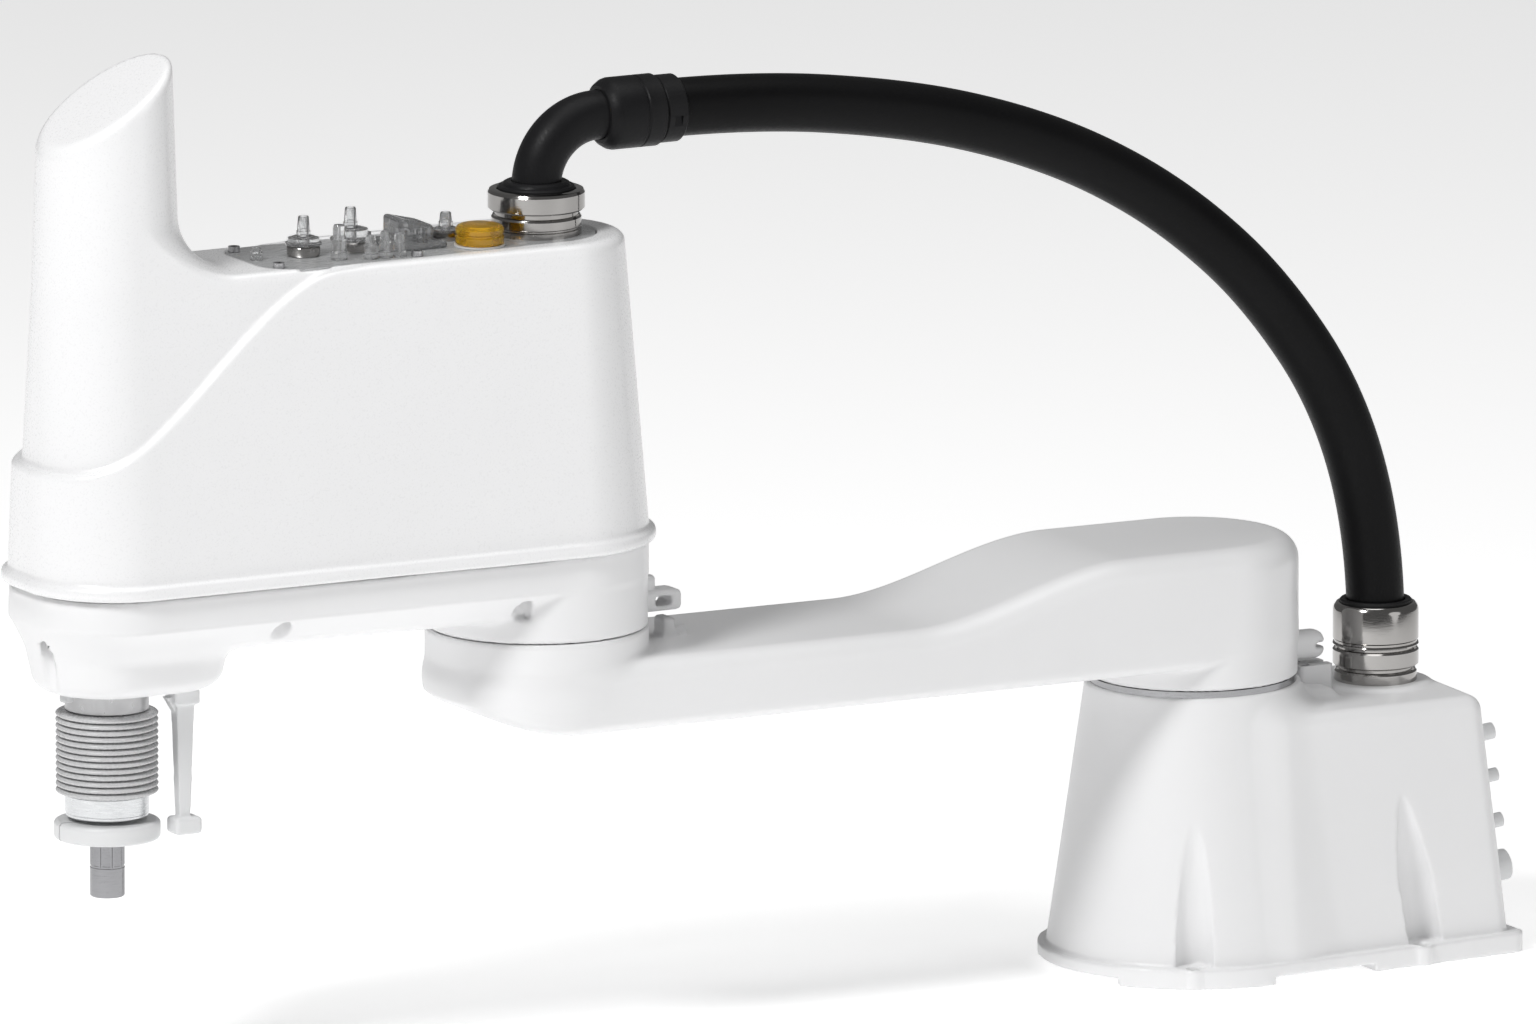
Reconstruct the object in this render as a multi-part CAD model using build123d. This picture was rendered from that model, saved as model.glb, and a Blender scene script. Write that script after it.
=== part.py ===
from build123d import *
import math
import os

# Four-axis SCARA robot arm, millimetres, +Z up.
# The origin is the first axis (A1) at the mounting plane, under the base's foot pads.
# +X runs along the straight arm: A1 at X = 0, A2 at the elbow, A3 and A4 on the quill axis.

# ---- driving dimensions ----
INNER_REACH = 425.0       # A1 to A2
OUTER_REACH = 275.0       # A2 to the quill axis
ELBOW_X = INNER_REACH
QUILL_X = INNER_REACH + OUTER_REACH
GAP = 0.3                 # side clearance between pieces that don't touch

PAD_HEIGHT = 4.5
FOOT_TOP = 12.0
TOWER_TOP = 165.0
TOWER_FOOT_R = 84.0
TOWER_TOP_R = 62.0
BOX_TOP = 151.0
BOX_REAR_LOW = -174.0
BOX_REAR_HIGH = -158.0
FOOT_REAR = -176.0
HOLE_R = 4.5              # M8 clearance holes through the foot
FOOT_LUG_R = 10.0         # round lug that each foot hole passes through
FOOT_PADS = ((-30.0, 84.0), (-190.0, -76.0))
FRONT_HOLE_X = 38.0
REAR_HOLE_X = -110.0
HOLE_Y = 74.0
FLUTE_R = 11.5            # vertical access flute above each foot hole

SEAM_1 = 169.0            # underside of the inner arm's boss at A1
ARM_BOTTOM = 182.0
ARM_LOW_TOP = 222.0
ARM_HIGH_TOP = 250.0
ARM_A1_R = 61.0
SLOPE_START = 70.0        # S-curve of the arm's top
SLOPE_END = 208.0
ARM_A2_R = 65.0
SEAM_2 = 237.0            # between the inner arm's raised boss and the outer arm

OUTER_BAND_LOW = 267.0
OUTER_TOP = 286.0
OUTER_BELLY = 248.0
BUCKET_BOTTOM = 225.0
ELBOW_R = 64.5            # outer arm plan outline: elbow radius, half width, front, front corners
OUTLINE_HALF = 62.0
OUTLINE_FRONT = 751.5
OUTLINE_CORNER = 50.0

HOOD_LOW = 286.5
LIP_TOP = 294.5
LIP_OUT = 4.0
DECK = 462.0
TOWER_LOW_R = 45.5
TOWER_HIGH_R = 38.0
TOWER_PEAK = 594.0
LEDGE_FRONT = 745.0       # the ledge sweeps up from here to the deck
LEDGE_BACK = 567.0
LEDGE_Z = 357.0
HOOD_WALL = 3.0

A3_MOTOR_X = 615.0
A4_MOTOR_X = 540.0
A3_BELT_LOW = 274.0
A4_BELT_LOW = 257.0
BELT_WIDTH = 12.0
MOTOR_PULLEY_R = 10.0
NUT_PULLEY_R = 24.0

SHAFT_R = 10.0
SHAFT_BORE_R = 7.0
SHAFT_LOW = 105.0
SHAFT_HIGH = 552.0
SEAT_TOP = 122.0          # top of the tool seat at the shaft's lower end
RUNNING = 0.05            # radial running clearance

BUTTON_X = 730.0
BUTTON_Y = 9.0
BUTTON_R = 4.0

HOSE_R = 16.75
GLAND_X = -120.0
HOSE_Z = 528.5            # height of the hose's run out of the coupling
HOSE_END_X = 346.0
HOSE_ROUTE = [
    (-120, 182), (-120, 234), (-96, 319), (-47, 389), (6, 437),
    (62, 472), (122, 497), (189, 515), (285, HOSE_Z), (HOSE_END_X, HOSE_Z),
]
ELBOW_TUBE_R = 14.2
ELBOW_BEND_R = 38.0
COUPLING_R = 19.8
COUPLING_START = 350.0     # joint between the coupling and its nut
HOOD_SCREW_X = (462.0, 616.0)
POCKET_Y = 53.4

DECK_TOP = DECK + 2.0     # top of the deck plate
FITTINGS = (              # push-in air fittings: x, y, height, half the width across flats
    (574.0, 0.0, 22.5, 11.5), (544.0, 0.0, 25.0, 10.5), (480.0, -6.0, 15.5, 8.5),
)
FITTING_STEM_R = 6.3
TUBE_BORE_R = 3.4
PLUGS = (                 # blanking plugs on the deck: x, y, radius, height
    (604.0, 0.0, 3.5, 7.5), (562.0, 21.0, 4.8, 20.0), (545.0, 27.0, 4.2, 13.0),
    (536.0, 28.0, 4.2, 15.0), (527.0, 28.0, 4.2, 13.0),
)
PLUG_STEM_R = 2.0
SOCKET_X = 507.0          # signal socket
LAMP_X = 472.0
LAMP_Y = 20.5
LAMP_R = 14.0
LAMP_STEM_R = 7.6

FLANGE_SCREW_R = 29.0     # circle of the output flanges' screws
FLANGE_SCREW_HOLE = 2.6
ARM_WALL_TOP = 203.0      # floor of the inner arm's hollow, seat of the A1 flange screws


# ---- building blocks ----
def disc(x, y, low, high, radius):
    """Upright cylinder between two heights."""
    return Pos(x, y, (low + high) / 2) * Cylinder(radius, high - low)


def ring(x, y, low, high, outer, inner):
    return disc(x, y, low, high, outer) - disc(x, y, low - 1, high + 1, inner)


def cone(x, y, low, high, low_r, high_r):
    return Pos(x, y, (low + high) / 2) * Cone(low_r, high_r, high - low)


def block(x0, x1, y0, y1, z0, z1, corner=0.0):
    """Box between two corners, with its upright edges rounded."""
    solid = Pos((x0 + x1) / 2, (y0 + y1) / 2, (z0 + z1) / 2) * Box(x1 - x0, y1 - y0, z1 - z0)
    if corner:
        solid = fillet(solid.edges().filter_by(Axis.Z), corner)
    return solid


def spun(x, profile):
    """Solid of revolution about the upright axis at x, from (radius, height) points."""
    face = make_face(Polyline(*[(r, 0, z) for r, z in profile], close=True))
    return Pos(x, 0, 0) * revolve(face, Axis.Z, 360)


def hex_bar(x, y, low, high, across):
    plate = Plane.XY.offset(low) * Pos(x, y) * RegularPolygon(across / math.sqrt(3), 6)
    return extrude(plate, high - low)


def polar(count, radius, start=0.0):
    step = 2 * math.pi / count
    turns = [start + step * i for i in range(count)]
    return [(radius * math.cos(t), radius * math.sin(t)) for t in turns]


def screw(x, y, seat, length, thread_r, head_r, head_h):
    """Socket head screw pointing down, its head standing on the seat height."""
    head = disc(x, y, seat, seat + head_h, head_r)
    shank = disc(x, y, seat - length, seat, thread_r)
    socket = hex_bar(x, y, seat + head_h * 0.4, seat + head_h + 1, head_r)
    return head + shank - socket


def group(pieces):
    return Compound(children=list(pieces))


# ---- base ----
def foot_outline(grow):
    """Plan of the foot: a round front about A1 that narrows towards the rear corners."""
    rear = block(FOOT_REAR - grow, -110, -67 - grow, 67 + grow, 0, 1, 10 + grow)
    front = disc(0, 0, 0, 1, TOWER_FOOT_R + grow)
    faces = [s.faces().sort_by(Axis.Z)[0] for s in (rear, front)]
    return make_hull(faces[0].edges() + faces[1].edges())


def box_section(height, shrink):
    """Rounded plan of the rear box at one height, drafted inwards as it rises."""
    rise = (height - FOOT_TOP) / (BOX_TOP - FOOT_TOP)
    rear = BOX_REAR_LOW + (BOX_REAR_HIGH - BOX_REAR_LOW) * rise + shrink
    half_rear = 67.0 - 5.0 * rise - shrink
    half_front = 81.0 - 15.0 * rise - shrink
    points = [(rear, -half_rear), (-10, -half_front), (-10, half_front), (rear, half_rear)]
    face = make_face(Polyline(*points, close=True))
    face = fillet(face.vertices().group_by(Axis.X)[0], 9 - shrink * 0.3)
    return Plane.XY.offset(height) * face


def foot_holes():
    return [(x, y) for x in (FRONT_HOLE_X, REAR_HOLE_X) for y in (-HOLE_Y, HOLE_Y)]


def base_housing():
    foot = extrude(Plane.XY.offset(PAD_HEIGHT) * foot_outline(5.0), FOOT_TOP - PAD_HEIGHT)
    tower = cone(0, 0, FOOT_TOP, TOWER_TOP, TOWER_FOOT_R, TOWER_TOP_R)
    rear_box = loft([box_section(FOOT_TOP, 0), box_section(BOX_TOP, 0)])
    rear_box = fillet(rear_box.faces().sort_by(Axis.Z)[-1].edges().sort_by(Axis.X)[:3], 5)
    body = foot + tower + rear_box
    inside = cone(0, 0, PAD_HEIGHT - 1, TOWER_TOP - 26, 64, 52)
    inside_box = loft([box_section(PAD_HEIGHT - 1, 14), box_section(BOX_TOP - 6, 7)])
    body -= inside + inside_box
    body -= disc(0, 0, TOWER_TOP - 40, TOWER_TOP + 1, 50 + GAP)
    for y in (-HOLE_Y, HOLE_Y):
        body -= disc(FRONT_HOLE_X, y * 1.01, FOOT_TOP, 130, FLUTE_R)
        body -= disc(REAR_HOLE_X, y * 0.95, FOOT_TOP, 62, FLUTE_R)
        body -= cone(REAR_HOLE_X, y * 0.95, 62, 104, FLUTE_R, 0.6)
    outline = extrude(foot_outline(5.0), PAD_HEIGHT)
    for start, end in FOOT_PADS:
        for low, high in ((50, 92), (-92, -50)):
            body += block(start, end, low, high, 0, 20, 6) & outline
    for x, y in foot_holes():
        body += disc(x, y, 0, FOOT_TOP, FOOT_LUG_R)
        body -= disc(x, y, -1, FOOT_TOP + 2, HOLE_R)
    body -= disc(GLAND_X, 0, BOX_TOP - 8, BOX_TOP + 1, 19 + GAP)
    return body - rear_window()


def rear_plane(depth):
    """Plane parallel to the drafted rear wall, depth mm inside it, X across the robot."""
    lean = math.atan2(BOX_REAR_HIGH - BOX_REAR_LOW, BOX_TOP - FOOT_TOP)
    origin = ((BOX_REAR_LOW + BOX_REAR_HIGH) / 2, 0, (BOX_TOP + FOOT_TOP) / 2)
    wall = Plane(origin=origin, x_dir=(0, -1, 0), z_dir=(-math.cos(lean), 0, math.sin(lean)))
    return wall.offset(-depth)


STOP_SCREW_X = -70.0
STOP_SCREW_Y = 5.6
PANEL_W = 104.0
PANEL_H = 112.0


def rear_window():
    window = Rectangle(PANEL_W - 14, PANEL_H - 14)
    recess = Rectangle(PANEL_W, PANEL_H)
    cut = extrude(rear_plane(18) * window, 22)
    return cut + extrude(rear_plane(2.5) * recess, 6)


def panel_ports():
    """Rear connectors as (across, up, radius): power, motor, encoder and three air ports."""
    return [
        (-40, 42, 6.0), (-40, 16, 4.8), (-40, -11, 5.2), (-36, -39, 11.0),
        (2, 32, 13.0), (2, -6, 13.0), (36, 36, 8.0), (36, 8, 8.0),
    ]


def base_rear_panel():
    plate = extrude(rear_plane(2.5) * Rectangle(PANEL_W - 1, PANEL_H - 1), 2.0)
    for across, up, radius in panel_ports():
        plate -= extrude(rear_plane(4) * Pos(across, up) * Circle(radius * 0.7 + 0.2), 8)
    for across, up in panel_screw_places():
        plate -= extrude(rear_plane(4) * Pos(across, up) * Circle(1.7), 8)
    return plate


def panel_screw_places():
    return [(x, y) for x in (-PANEL_W / 2 + 5, PANEL_W / 2 - 5) for y in (-PANEL_H / 2 + 5, PANEL_H / 2 - 5)]


def base_screws():
    """Panel screws on the rear wall and the two screws of the stop block."""
    pieces = [screw(STOP_SCREW_X, y, 163, 12, 1.8, 3.3, 3) for y in (-STOP_SCREW_Y, STOP_SCREW_Y)]
    for across, up in panel_screw_places():
        head = extrude(rear_plane(0.5) * Pos(across, up) * Circle(2.9), 1.8)
        shank = extrude(rear_plane(2.5) * Pos(across, up) * Circle(1.5), 2.5)
        socket = extrude(rear_plane(-0.6) * Pos(across, up) * RegularPolygon(1.5, 6), 3)
        pieces.append(head + shank - socket)
    return group(pieces)


def port(across, up, radius, reach):
    """Round connector: a stub through the panel, a nut against it and a mouth with a socket."""
    stub = extrude(rear_plane(8) * Pos(across, up) * Circle(radius * 0.7), 8)
    nut = extrude(rear_plane(0.5) * Pos(across, up) * Circle(radius), 4)
    barrel = extrude(rear_plane(-3.5) * Pos(across, up) * Circle(radius * 0.82), reach - 3)
    mouth = extrude(rear_plane(-reach + 6) * Pos(across, up) * Circle(radius * 0.55), reach)
    return stub + nut + barrel - mouth


def base_connectors():
    return group(port(a, u, r, 15) for a, u, r in panel_ports() if r > 7)


def base_air_ports():
    return group(port(a, u, r, 13) for a, u, r in panel_ports() if r < 7)


def gland(x, low, bore_r, bands):
    """Turned cable gland: threaded stem, bands with a groove between them, stepped bore."""
    solid = disc(x, 0, low - 7, low, 19)
    for start, end, radius in bands:
        solid += disc(x, 0, start, end, radius)
    return solid - disc(x, 0, low - 8, 400 + low, bore_r)


def base_gland():
    bands = [(151, 160, 23.8), (160, 162, 21.5), (162, 173, 24.8), (173, 175.5, 22.6), (175.5, 199, 24.6)]
    body = gland(GLAND_X, BOX_TOP, 13.0, bands)
    rim = body.edges().filter_by(GeomType.CIRCLE).sort_by(Axis.Z)[-1]
    body = chamfer(rim, 0.8) if rim.radius > 20 else body
    return body - disc(GLAND_X, 0, 182, 210, 21)


def base_gland_seal():
    seal = ring(GLAND_X, 0, 183, 201, 20.9, HOSE_R + GAP)
    top = seal.edges().filter_by(GeomType.CIRCLE).group_by(Axis.Z)[-1]
    return chamfer(top, 0.8)


def base_stop_block():
    """Index and stop block bolted on the tower's rear shoulder."""
    body = block(-87, -65, -10.5, 10.5, BOX_TOP, 167, 3)
    for y in (-STOP_SCREW_Y, STOP_SCREW_Y):
        body -= disc(STOP_SCREW_X, y, 150, 168, 1.9)
        body -= disc(STOP_SCREW_X, y, 163, 168, 3.5)
    return body - block(-88, -75, -2.2, 2.2, 158, 170)


# ---- drives ----
def servo_motor(x, low, high, half, shaft_bore, cap_low):
    """Square servo motor with an encoder cap on its rear end and a bore for its rotor."""
    body = block(x - half, x + half, -half, half, low, high, half * 0.22)
    inner = half - 2
    cap = block(x - inner, x + inner, -inner, inner, cap_low, cap_low + 14, half * 0.2)
    return body + cap - disc(x, 0, low, high, shaft_bore)


def reducer(x, low, outer, bore):
    """Harmonic reducer housing: a thick ring with a stepped flange."""
    body = ring(x, 0, low, low + 22, outer - 3, bore) + ring(x, 0, low + 22, low + 30, outer, bore)
    for dx, dy in polar(8, outer - 6.5):
        body -= disc(x + dx, dy, low - 1, low + 40, 1.7)
    return body


def a1_motor():
    return servo_motor(0, 34, 112, 30, 6.3, 20)


def a1_motor_rotor():
    """Motor shaft and wave generator plug, turning fifty times for each turn of the arm."""
    return disc(0, 0, 36, 112.5, 6.0) + disc(0, 0, 112.5, 148, 20)


def a1_motor_plate():
    plate = ring(0, 0, 112, 120, 49.5, 22) + ring(0, 0, 120, 125, 49.5, 44)
    return plate


def a1_reducer():
    return reducer(0, 125, 50, 36)


def a1_bearing():
    """Crossed-roller bearing's fixed ring, the collar seen under the arm."""
    return ring(0, 0, TOWER_TOP, 168.6, 60, 44)


def a1_output_flange():
    flange = ring(0, 0, 150, SEAM_1, 35.6, 8) + ring(0, 0, 165.4, SEAM_1, 43.6, 8)
    for dx, dy in polar(8, FLANGE_SCREW_R):
        flange -= disc(dx, dy, 149, 170, FLANGE_SCREW_HOLE)
    return flange


# ---- inner arm ----
def arm_plan(shrink):
    a1 = Circle(ARM_A1_R - shrink)
    a2 = Pos(ELBOW_X, 0) * Circle(ARM_A2_R - shrink)
    return make_hull(a1.edges() + a2.edges())


def arm_side():
    """Side view of the arm: high over A1, an S-curve down to the low reach."""
    far = ELBOW_X + ARM_A2_R + 5
    near = -ARM_A1_R - 5
    ends = (SLOPE_START, ARM_HIGH_TOP), (SLOPE_END, ARM_LOW_TOP)
    slope = Spline(*ends, tangents=[(1, 0), (1, 0)], tangent_scalars=[1.0, 1.0])
    rest = Polyline(
        (SLOPE_END, ARM_LOW_TOP), (far, ARM_LOW_TOP), (far, ARM_BOTTOM), (near, ARM_BOTTOM),
        (near, ARM_HIGH_TOP), (SLOPE_START, ARM_HIGH_TOP),
    )
    return extrude(Plane.XZ * make_face(slope + rest), 80, both=True)


def arm_cells():
    """Ribbed underside: open cells between cross ribs and a centre rib."""
    cells = []
    for i in range(4):
        x0 = 92 + i * 66
        top = ARM_LOW_TOP - 9
        for y0, y1 in ((-47, -4), (4, 47)):
            cells.append(block(x0, x0 + 58, y0, y1, ARM_BOTTOM - 1, top, 8))
    return cells


def crosses_the_top(edge):
    """True for the straight edges across the arm where its S-curve starts and ends."""
    middle = edge.center()
    across = abs(middle.Y) < 1 and abs(edge.tangent_at(0.5).Y) > 0.9
    return across and SLOPE_START - 10 < middle.X < SLOPE_END + 92


def inner_arm_casting():
    arm = extrude(Plane.XY.offset(ARM_BOTTOM) * arm_plan(0), ARM_HIGH_TOP - ARM_BOTTOM) & arm_side()
    top_edges = [e for e in arm.edges() if e.center().Z > ARM_LOW_TOP - 0.5]
    arm = fillet([e for e in top_edges if not crosses_the_top(e)], 13)
    low_edges = [e for e in arm.edges() if e.center().Z < ARM_BOTTOM + 0.1]
    arm = fillet(low_edges, 9)
    arm += disc(0, 0, SEAM_1, ARM_BOTTOM + 20, ARM_A1_R - 0.5)
    boss = cone(ELBOW_X, 0, 205, SEAM_2 - 0.6, 64.2, 63.2)
    arm += fillet(boss.edges().sort_by(Axis.Z)[-1], 1.2)
    arm -= disc(ELBOW_X, 0, 224, 240, 44)
    arm -= disc(ELBOW_X, 0, ARM_BOTTOM - 1, 230, 24)
    arm -= disc(0, 0, ARM_WALL_TOP, 242, 44)
    arm -= disc(0, 0, 160, 210, 12)
    for cell in arm_cells():
        arm -= cell
    for dx, dy in polar(8, FLANGE_SCREW_R):
        arm -= disc(dx, dy, 160, 210, FLANGE_SCREW_HOLE)
    return arm + inner_arm_index_tab() + inner_arm_elbow_tab()


def a1_output_screws():
    return group(screw(dx, dy, ARM_WALL_TOP, 36, 2.4, 4.2, 5) for dx, dy in polar(8, FLANGE_SCREW_R))


def inner_arm_index_tab():
    """Slotted tab on the arm's rear that lines up with the base's stop block."""
    body = block(-84, -55, -8, 8, 169.5, 186, 3)
    return body - block(-90, -74, -2.2, 2.2, 165, 190)


def inner_arm_elbow_tab():
    """Index block on the arm's top, in front of the elbow."""
    body = block(333, 347, -11, 11, ARM_LOW_TOP - 3, 233.5, 2.5)
    return body - block(336.5, 343.5, -2.2, 2.2, 228, 240)


# ---- outer arm ----
def outline(elbow_r, half, front, corner, height):
    """Plan of the outer arm: round about A2, straight sides, rounded front."""
    lead = math.acos(half / elbow_r) if half < elbow_r else 0.0
    side_x = ELBOW_X + elbow_r * math.sin(lead)
    near = Line((side_x, half), (front - corner, half))
    far = Line((front - corner, -half), (side_x, -half))
    mid_1, mid_2 = corner_mid(front, half, corner, 1), corner_mid(front, half, corner, -1)
    corner_1 = ThreePointArc((front - corner, half), mid_1, (front, half - corner))
    nose = Line((front, half - corner), (front, corner - half))
    corner_2 = ThreePointArc((front, corner - half), mid_2, (front - corner, -half))
    tail = ThreePointArc((side_x, -half), (ELBOW_X - elbow_r, 0), (side_x, half))
    return Plane.XY.offset(height) * make_face(near + corner_1 + nose + corner_2 + far + tail)


def corner_mid(front, half, corner, side):
    reach = corner * (1 - math.sqrt(0.5))
    return (front - reach, side * (half - reach))


def outer_plan(grow, height):
    corner = OUTLINE_CORNER + grow * 0.6
    return outline(ELBOW_R + grow, OUTLINE_HALF + grow, OUTLINE_FRONT + grow, corner, height)


def screw_pockets():
    """Places of the pockets in the band's lower slope, one for each hood screw."""
    return [(x, y) for x in HOOD_SCREW_X for y in (POCKET_Y, -POCKET_Y)]


def outer_arm_casting():
    band = extrude(outer_plan(-1, OUTER_BAND_LOW), OUTER_TOP - OUTER_BAND_LOW)
    belly = loft([outer_plan(-19, OUTER_BELLY), outer_plan(-1, OUTER_BAND_LOW)])
    drum = disc(ELBOW_X, 0, SEAM_2, OUTER_TOP, 63.4)
    bucket = cone(QUILL_X, 0, BUCKET_BOTTOM, 270, 41, 50)
    bucket += cone(QUILL_X - 26, 0, BUCKET_BOTTOM, 270, 41, 50)
    bucket = fillet(bucket.faces().sort_by(Axis.Z)[0].edges(), 9)
    arm = band + belly + drum + bucket + outer_index_tab()
    arm -= extrude(outer_plan(-7, OUTER_BAND_LOW), 30)
    arm -= loft([outer_plan(-28, OUTER_BELLY + 6), outer_plan(-12, OUTER_BAND_LOW)])
    for x in (QUILL_X, QUILL_X - 26):
        arm -= cone(x, 0, BUCKET_BOTTOM + 8, 275, 33, 41)
    arm -= disc(ELBOW_X, 0, SEAM_2 - 1, 290, 44)
    arm -= disc(BUTTON_X, BUTTON_Y, 220, BUCKET_BOTTOM + 5, BUTTON_R + GAP)
    arm -= disc(QUILL_X, 0, 220, 240, 22 + GAP)
    for x, y in screw_pockets():
        arm += disc(x, y, OUTER_BAND_LOW, OUTER_TOP, 5.5)
        arm -= disc(x, y, 252, 274, 4.6)
        arm -= disc(x, y, 250, 310, 2.1)
    return arm


def outer_index_tab():
    """Perforated tab on the drum's rear that lines up with the block on the inner arm."""
    rear = ELBOW_X - 63.4
    body = block(rear - 26, rear + 8, -9, 9, 238, 250, 3)
    body -= Pos(rear - 13, 0, 244) * Rot(90, 0, 0) * Cylinder(3.6, 40)
    return body + disc(rear - 15, 0, 249, 258, 4)


def hood_screws():
    pieces = []
    for x, y in screw_pockets():
        head = disc(x, y, 270.4, 274, 3.6) + disc(x, y, 274, 284, 1.9)
        pieces.append(head - hex_bar(x, y, 269, 272.4, 3.2))
    return group(pieces)


def a2_bearing():
    """Crossed-roller bearing's ring, set in the outer arm's drum."""
    return ring(ELBOW_X, 0, SEAM_2 + 2, 250, 43.8, 36)


def a2_output_flange():
    flange = ring(ELBOW_X, 0, 224, SEAM_2 - 0.4, 43.6, 24) + ring(ELBOW_X, 0, 230, 249, 35.6, 24)
    for dx, dy in polar(8, 30):
        flange -= disc(ELBOW_X + dx, dy, 220, 250, 2.6)
    return flange


def a2_output_screws():
    return group(screw(ELBOW_X + dx, dy, 249, 22, 2.4, 4.2, 3.5) for dx, dy in polar(8, 30))


def a2_reducer():
    return reducer(ELBOW_X, 254, 43.6, 31)


def a2_motor_plate():
    plate = disc(ELBOW_X, 0, 284, 290, 43.6) - disc(ELBOW_X, 0, 280, 300, 16)
    return plate


def a2_motor():
    return servo_motor(ELBOW_X, 290, 372, 27, 6.3, 372)


def a2_motor_rotor():
    return disc(ELBOW_X, 0, 262, 283.6, 20) + disc(ELBOW_X, 0, 283.6, 360, 6.0)


def drive_frame():
    """Plate over the casting that carries the A3 and A4 motors and the nut bearings."""
    plate = block(478, 726, -40, 40, 290, 298, 12)
    for x in (A3_MOTOR_X, A4_MOTOR_X):
        plate -= disc(x, 0, 285, 300, 15)
    plate -= disc(QUILL_X, 0, 285, 300, 24 + GAP)
    for x in (488, 628):
        for y in (-27, 27):
            plate += disc(x, y, OUTER_BELLY + 6, 290, 4)
    return plate


def a3_motor():
    return servo_motor(A3_MOTOR_X, 298, 368, 25, 4.3, 368)


def a4_motor():
    return servo_motor(A4_MOTOR_X, 298, 368, 24, 4.3, 368)


def motor_pulley(x, low):
    """Flanged timing pulley on a motor shaft."""
    rim = MOTOR_PULLEY_R + 2
    high = low + BELT_WIDTH
    flanges = disc(x, 0, low - 1.5, low, rim) + disc(x, 0, high, high + 1.5, rim)
    return disc(x, 0, low, high, MOTOR_PULLEY_R) + flanges


def nut_pulley(low, bore):
    """Flanged timing pulley clamped on a rotating nut."""
    rim = NUT_PULLEY_R + 2
    high = low + BELT_WIDTH
    face = ring(QUILL_X, 0, low, high, NUT_PULLEY_R, bore)
    return face + ring(QUILL_X, 0, low - 1.5, low, rim, bore) + ring(QUILL_X, 0, high, high + 1.5, rim, bore)


def belt(motor_x, low):
    """Closed timing belt round a motor pulley and a nut pulley, just outside their rims."""
    loops = []
    for extra in (0.35, 1.8):
        small = Pos(motor_x, 0) * Circle(MOTOR_PULLEY_R + extra)
        large = Pos(QUILL_X, 0) * Circle(NUT_PULLEY_R + extra)
        outline_face = make_hull(small.edges() + large.edges())
        loops.append(extrude(Plane.XY.offset(low + 0.5) * outline_face, BELT_WIDTH - 1))
    return loops[1] - loops[0]


def a3_motor_rotor():
    return motor_pulley(A3_MOTOR_X, A3_BELT_LOW) + disc(A3_MOTOR_X, 0, 287.5, 365, 4.0)


def a4_motor_rotor():
    return motor_pulley(A4_MOTOR_X, A4_BELT_LOW) + disc(A4_MOTOR_X, 0, 270.5, 365, 4.0)


def a3_belt():
    return belt(A3_MOTOR_X, A3_BELT_LOW)


def a4_belt():
    return belt(A4_MOTOR_X, A4_BELT_LOW)


def ball_screw_nut():
    """Rotating ball-screw nut with its pulley, in the upper nut bearing."""
    return ring(QUILL_X, 0, 272.5, 320, 17, SHAFT_R + RUNNING) + nut_pulley(A3_BELT_LOW, 16)


def ball_nut_bearing():
    return ring(QUILL_X, 0, 288.5, 300, 24, 17.4)


def spline_nut():
    """Rotating ball-spline nut with its pulley, in the lower nut bearing."""
    return ring(QUILL_X, 0, 227, 272, 16, SHAFT_R + RUNNING) + nut_pulley(A4_BELT_LOW, 15)


def spline_nut_bearing():
    return ring(QUILL_X, 0, 226, 246, 22, 16.4)


# ---- hood ----
def hood_body(inset, low, high):
    """Drafted main volume of the hood between two heights."""
    def section(height):
        rise = (height - 290) / (DECK - 290)
        elbow = ELBOW_R - 14.3 * rise - inset
        half = OUTLINE_HALF - 14.5 * rise - inset
        front = OUTLINE_FRONT - 10.0 * rise - inset
        return outline(elbow, half, front, OUTLINE_CORNER - 9.0 * rise - inset * 0.6, height)
    return loft([section(low), section(high)])


def swoosh_region():
    """Side view of the proud lower part of the hood, under its sweeping ledge."""
    top = DECK + 0.5
    sweep_line = Spline(
        (LEDGE_FRONT, LEDGE_Z), (703, 372), (654, 414), (616, 443), (LEDGE_BACK, top),
        tangents=[(-1, 0.02), (-1, 0.2)],
    )
    rest = Polyline(
        (LEDGE_BACK, top), (300, top), (300, 280), (800, 280), (800, LEDGE_Z), (LEDGE_FRONT, LEDGE_Z),
    )
    return extrude(Plane.XZ * make_face(sweep_line + rest), 90, both=True)


def hood_tower(inset, low):
    tower = cone(QUILL_X, 0, 353, TOWER_PEAK, TOWER_LOW_R, TOWER_HIGH_R)
    if inset:
        tower = cone(QUILL_X, 0, low, TOWER_PEAK - inset, TOWER_LOW_R - inset, TOWER_HIGH_R - inset)
    slope = Plane(origin=(QUILL_X, 0, 565 - inset), z_dir=(0.55, 0, 0.835))
    keep = extrude(slope * Rectangle(300, 200), -400)
    return tower & keep


def hood_solid(inset):
    ledge = 5.5
    low = HOOD_LOW if not inset else HOOD_LOW - 2
    lower = hood_body(inset, low, DECK - inset) & swoosh_region()
    upper = hood_body(inset + ledge, low + 1, DECK - inset)
    return lower + upper + hood_tower(inset, low + 20)


def hood():
    outer = hood_solid(0)
    outer += extrude(outer_plan(LIP_OUT, HOOD_LOW), LIP_TOP - HOOD_LOW)
    shell = outer - hood_solid(HOOD_WALL)
    shell -= block(444, 640, -32, 32, DECK - 5, DECK + 1, 6)
    shell -= disc(ELBOW_X, 0, DECK - 6, DECK + 2, 19 + GAP)
    return shell


def hood_gasket():
    """Flat foam gasket between the casting's rim and the hood's lip."""
    outer = extrude(outer_plan(-1.6, OUTER_TOP), 0.5)
    return outer - extrude(outer_plan(-6, OUTER_TOP - 1), 3)


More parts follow.
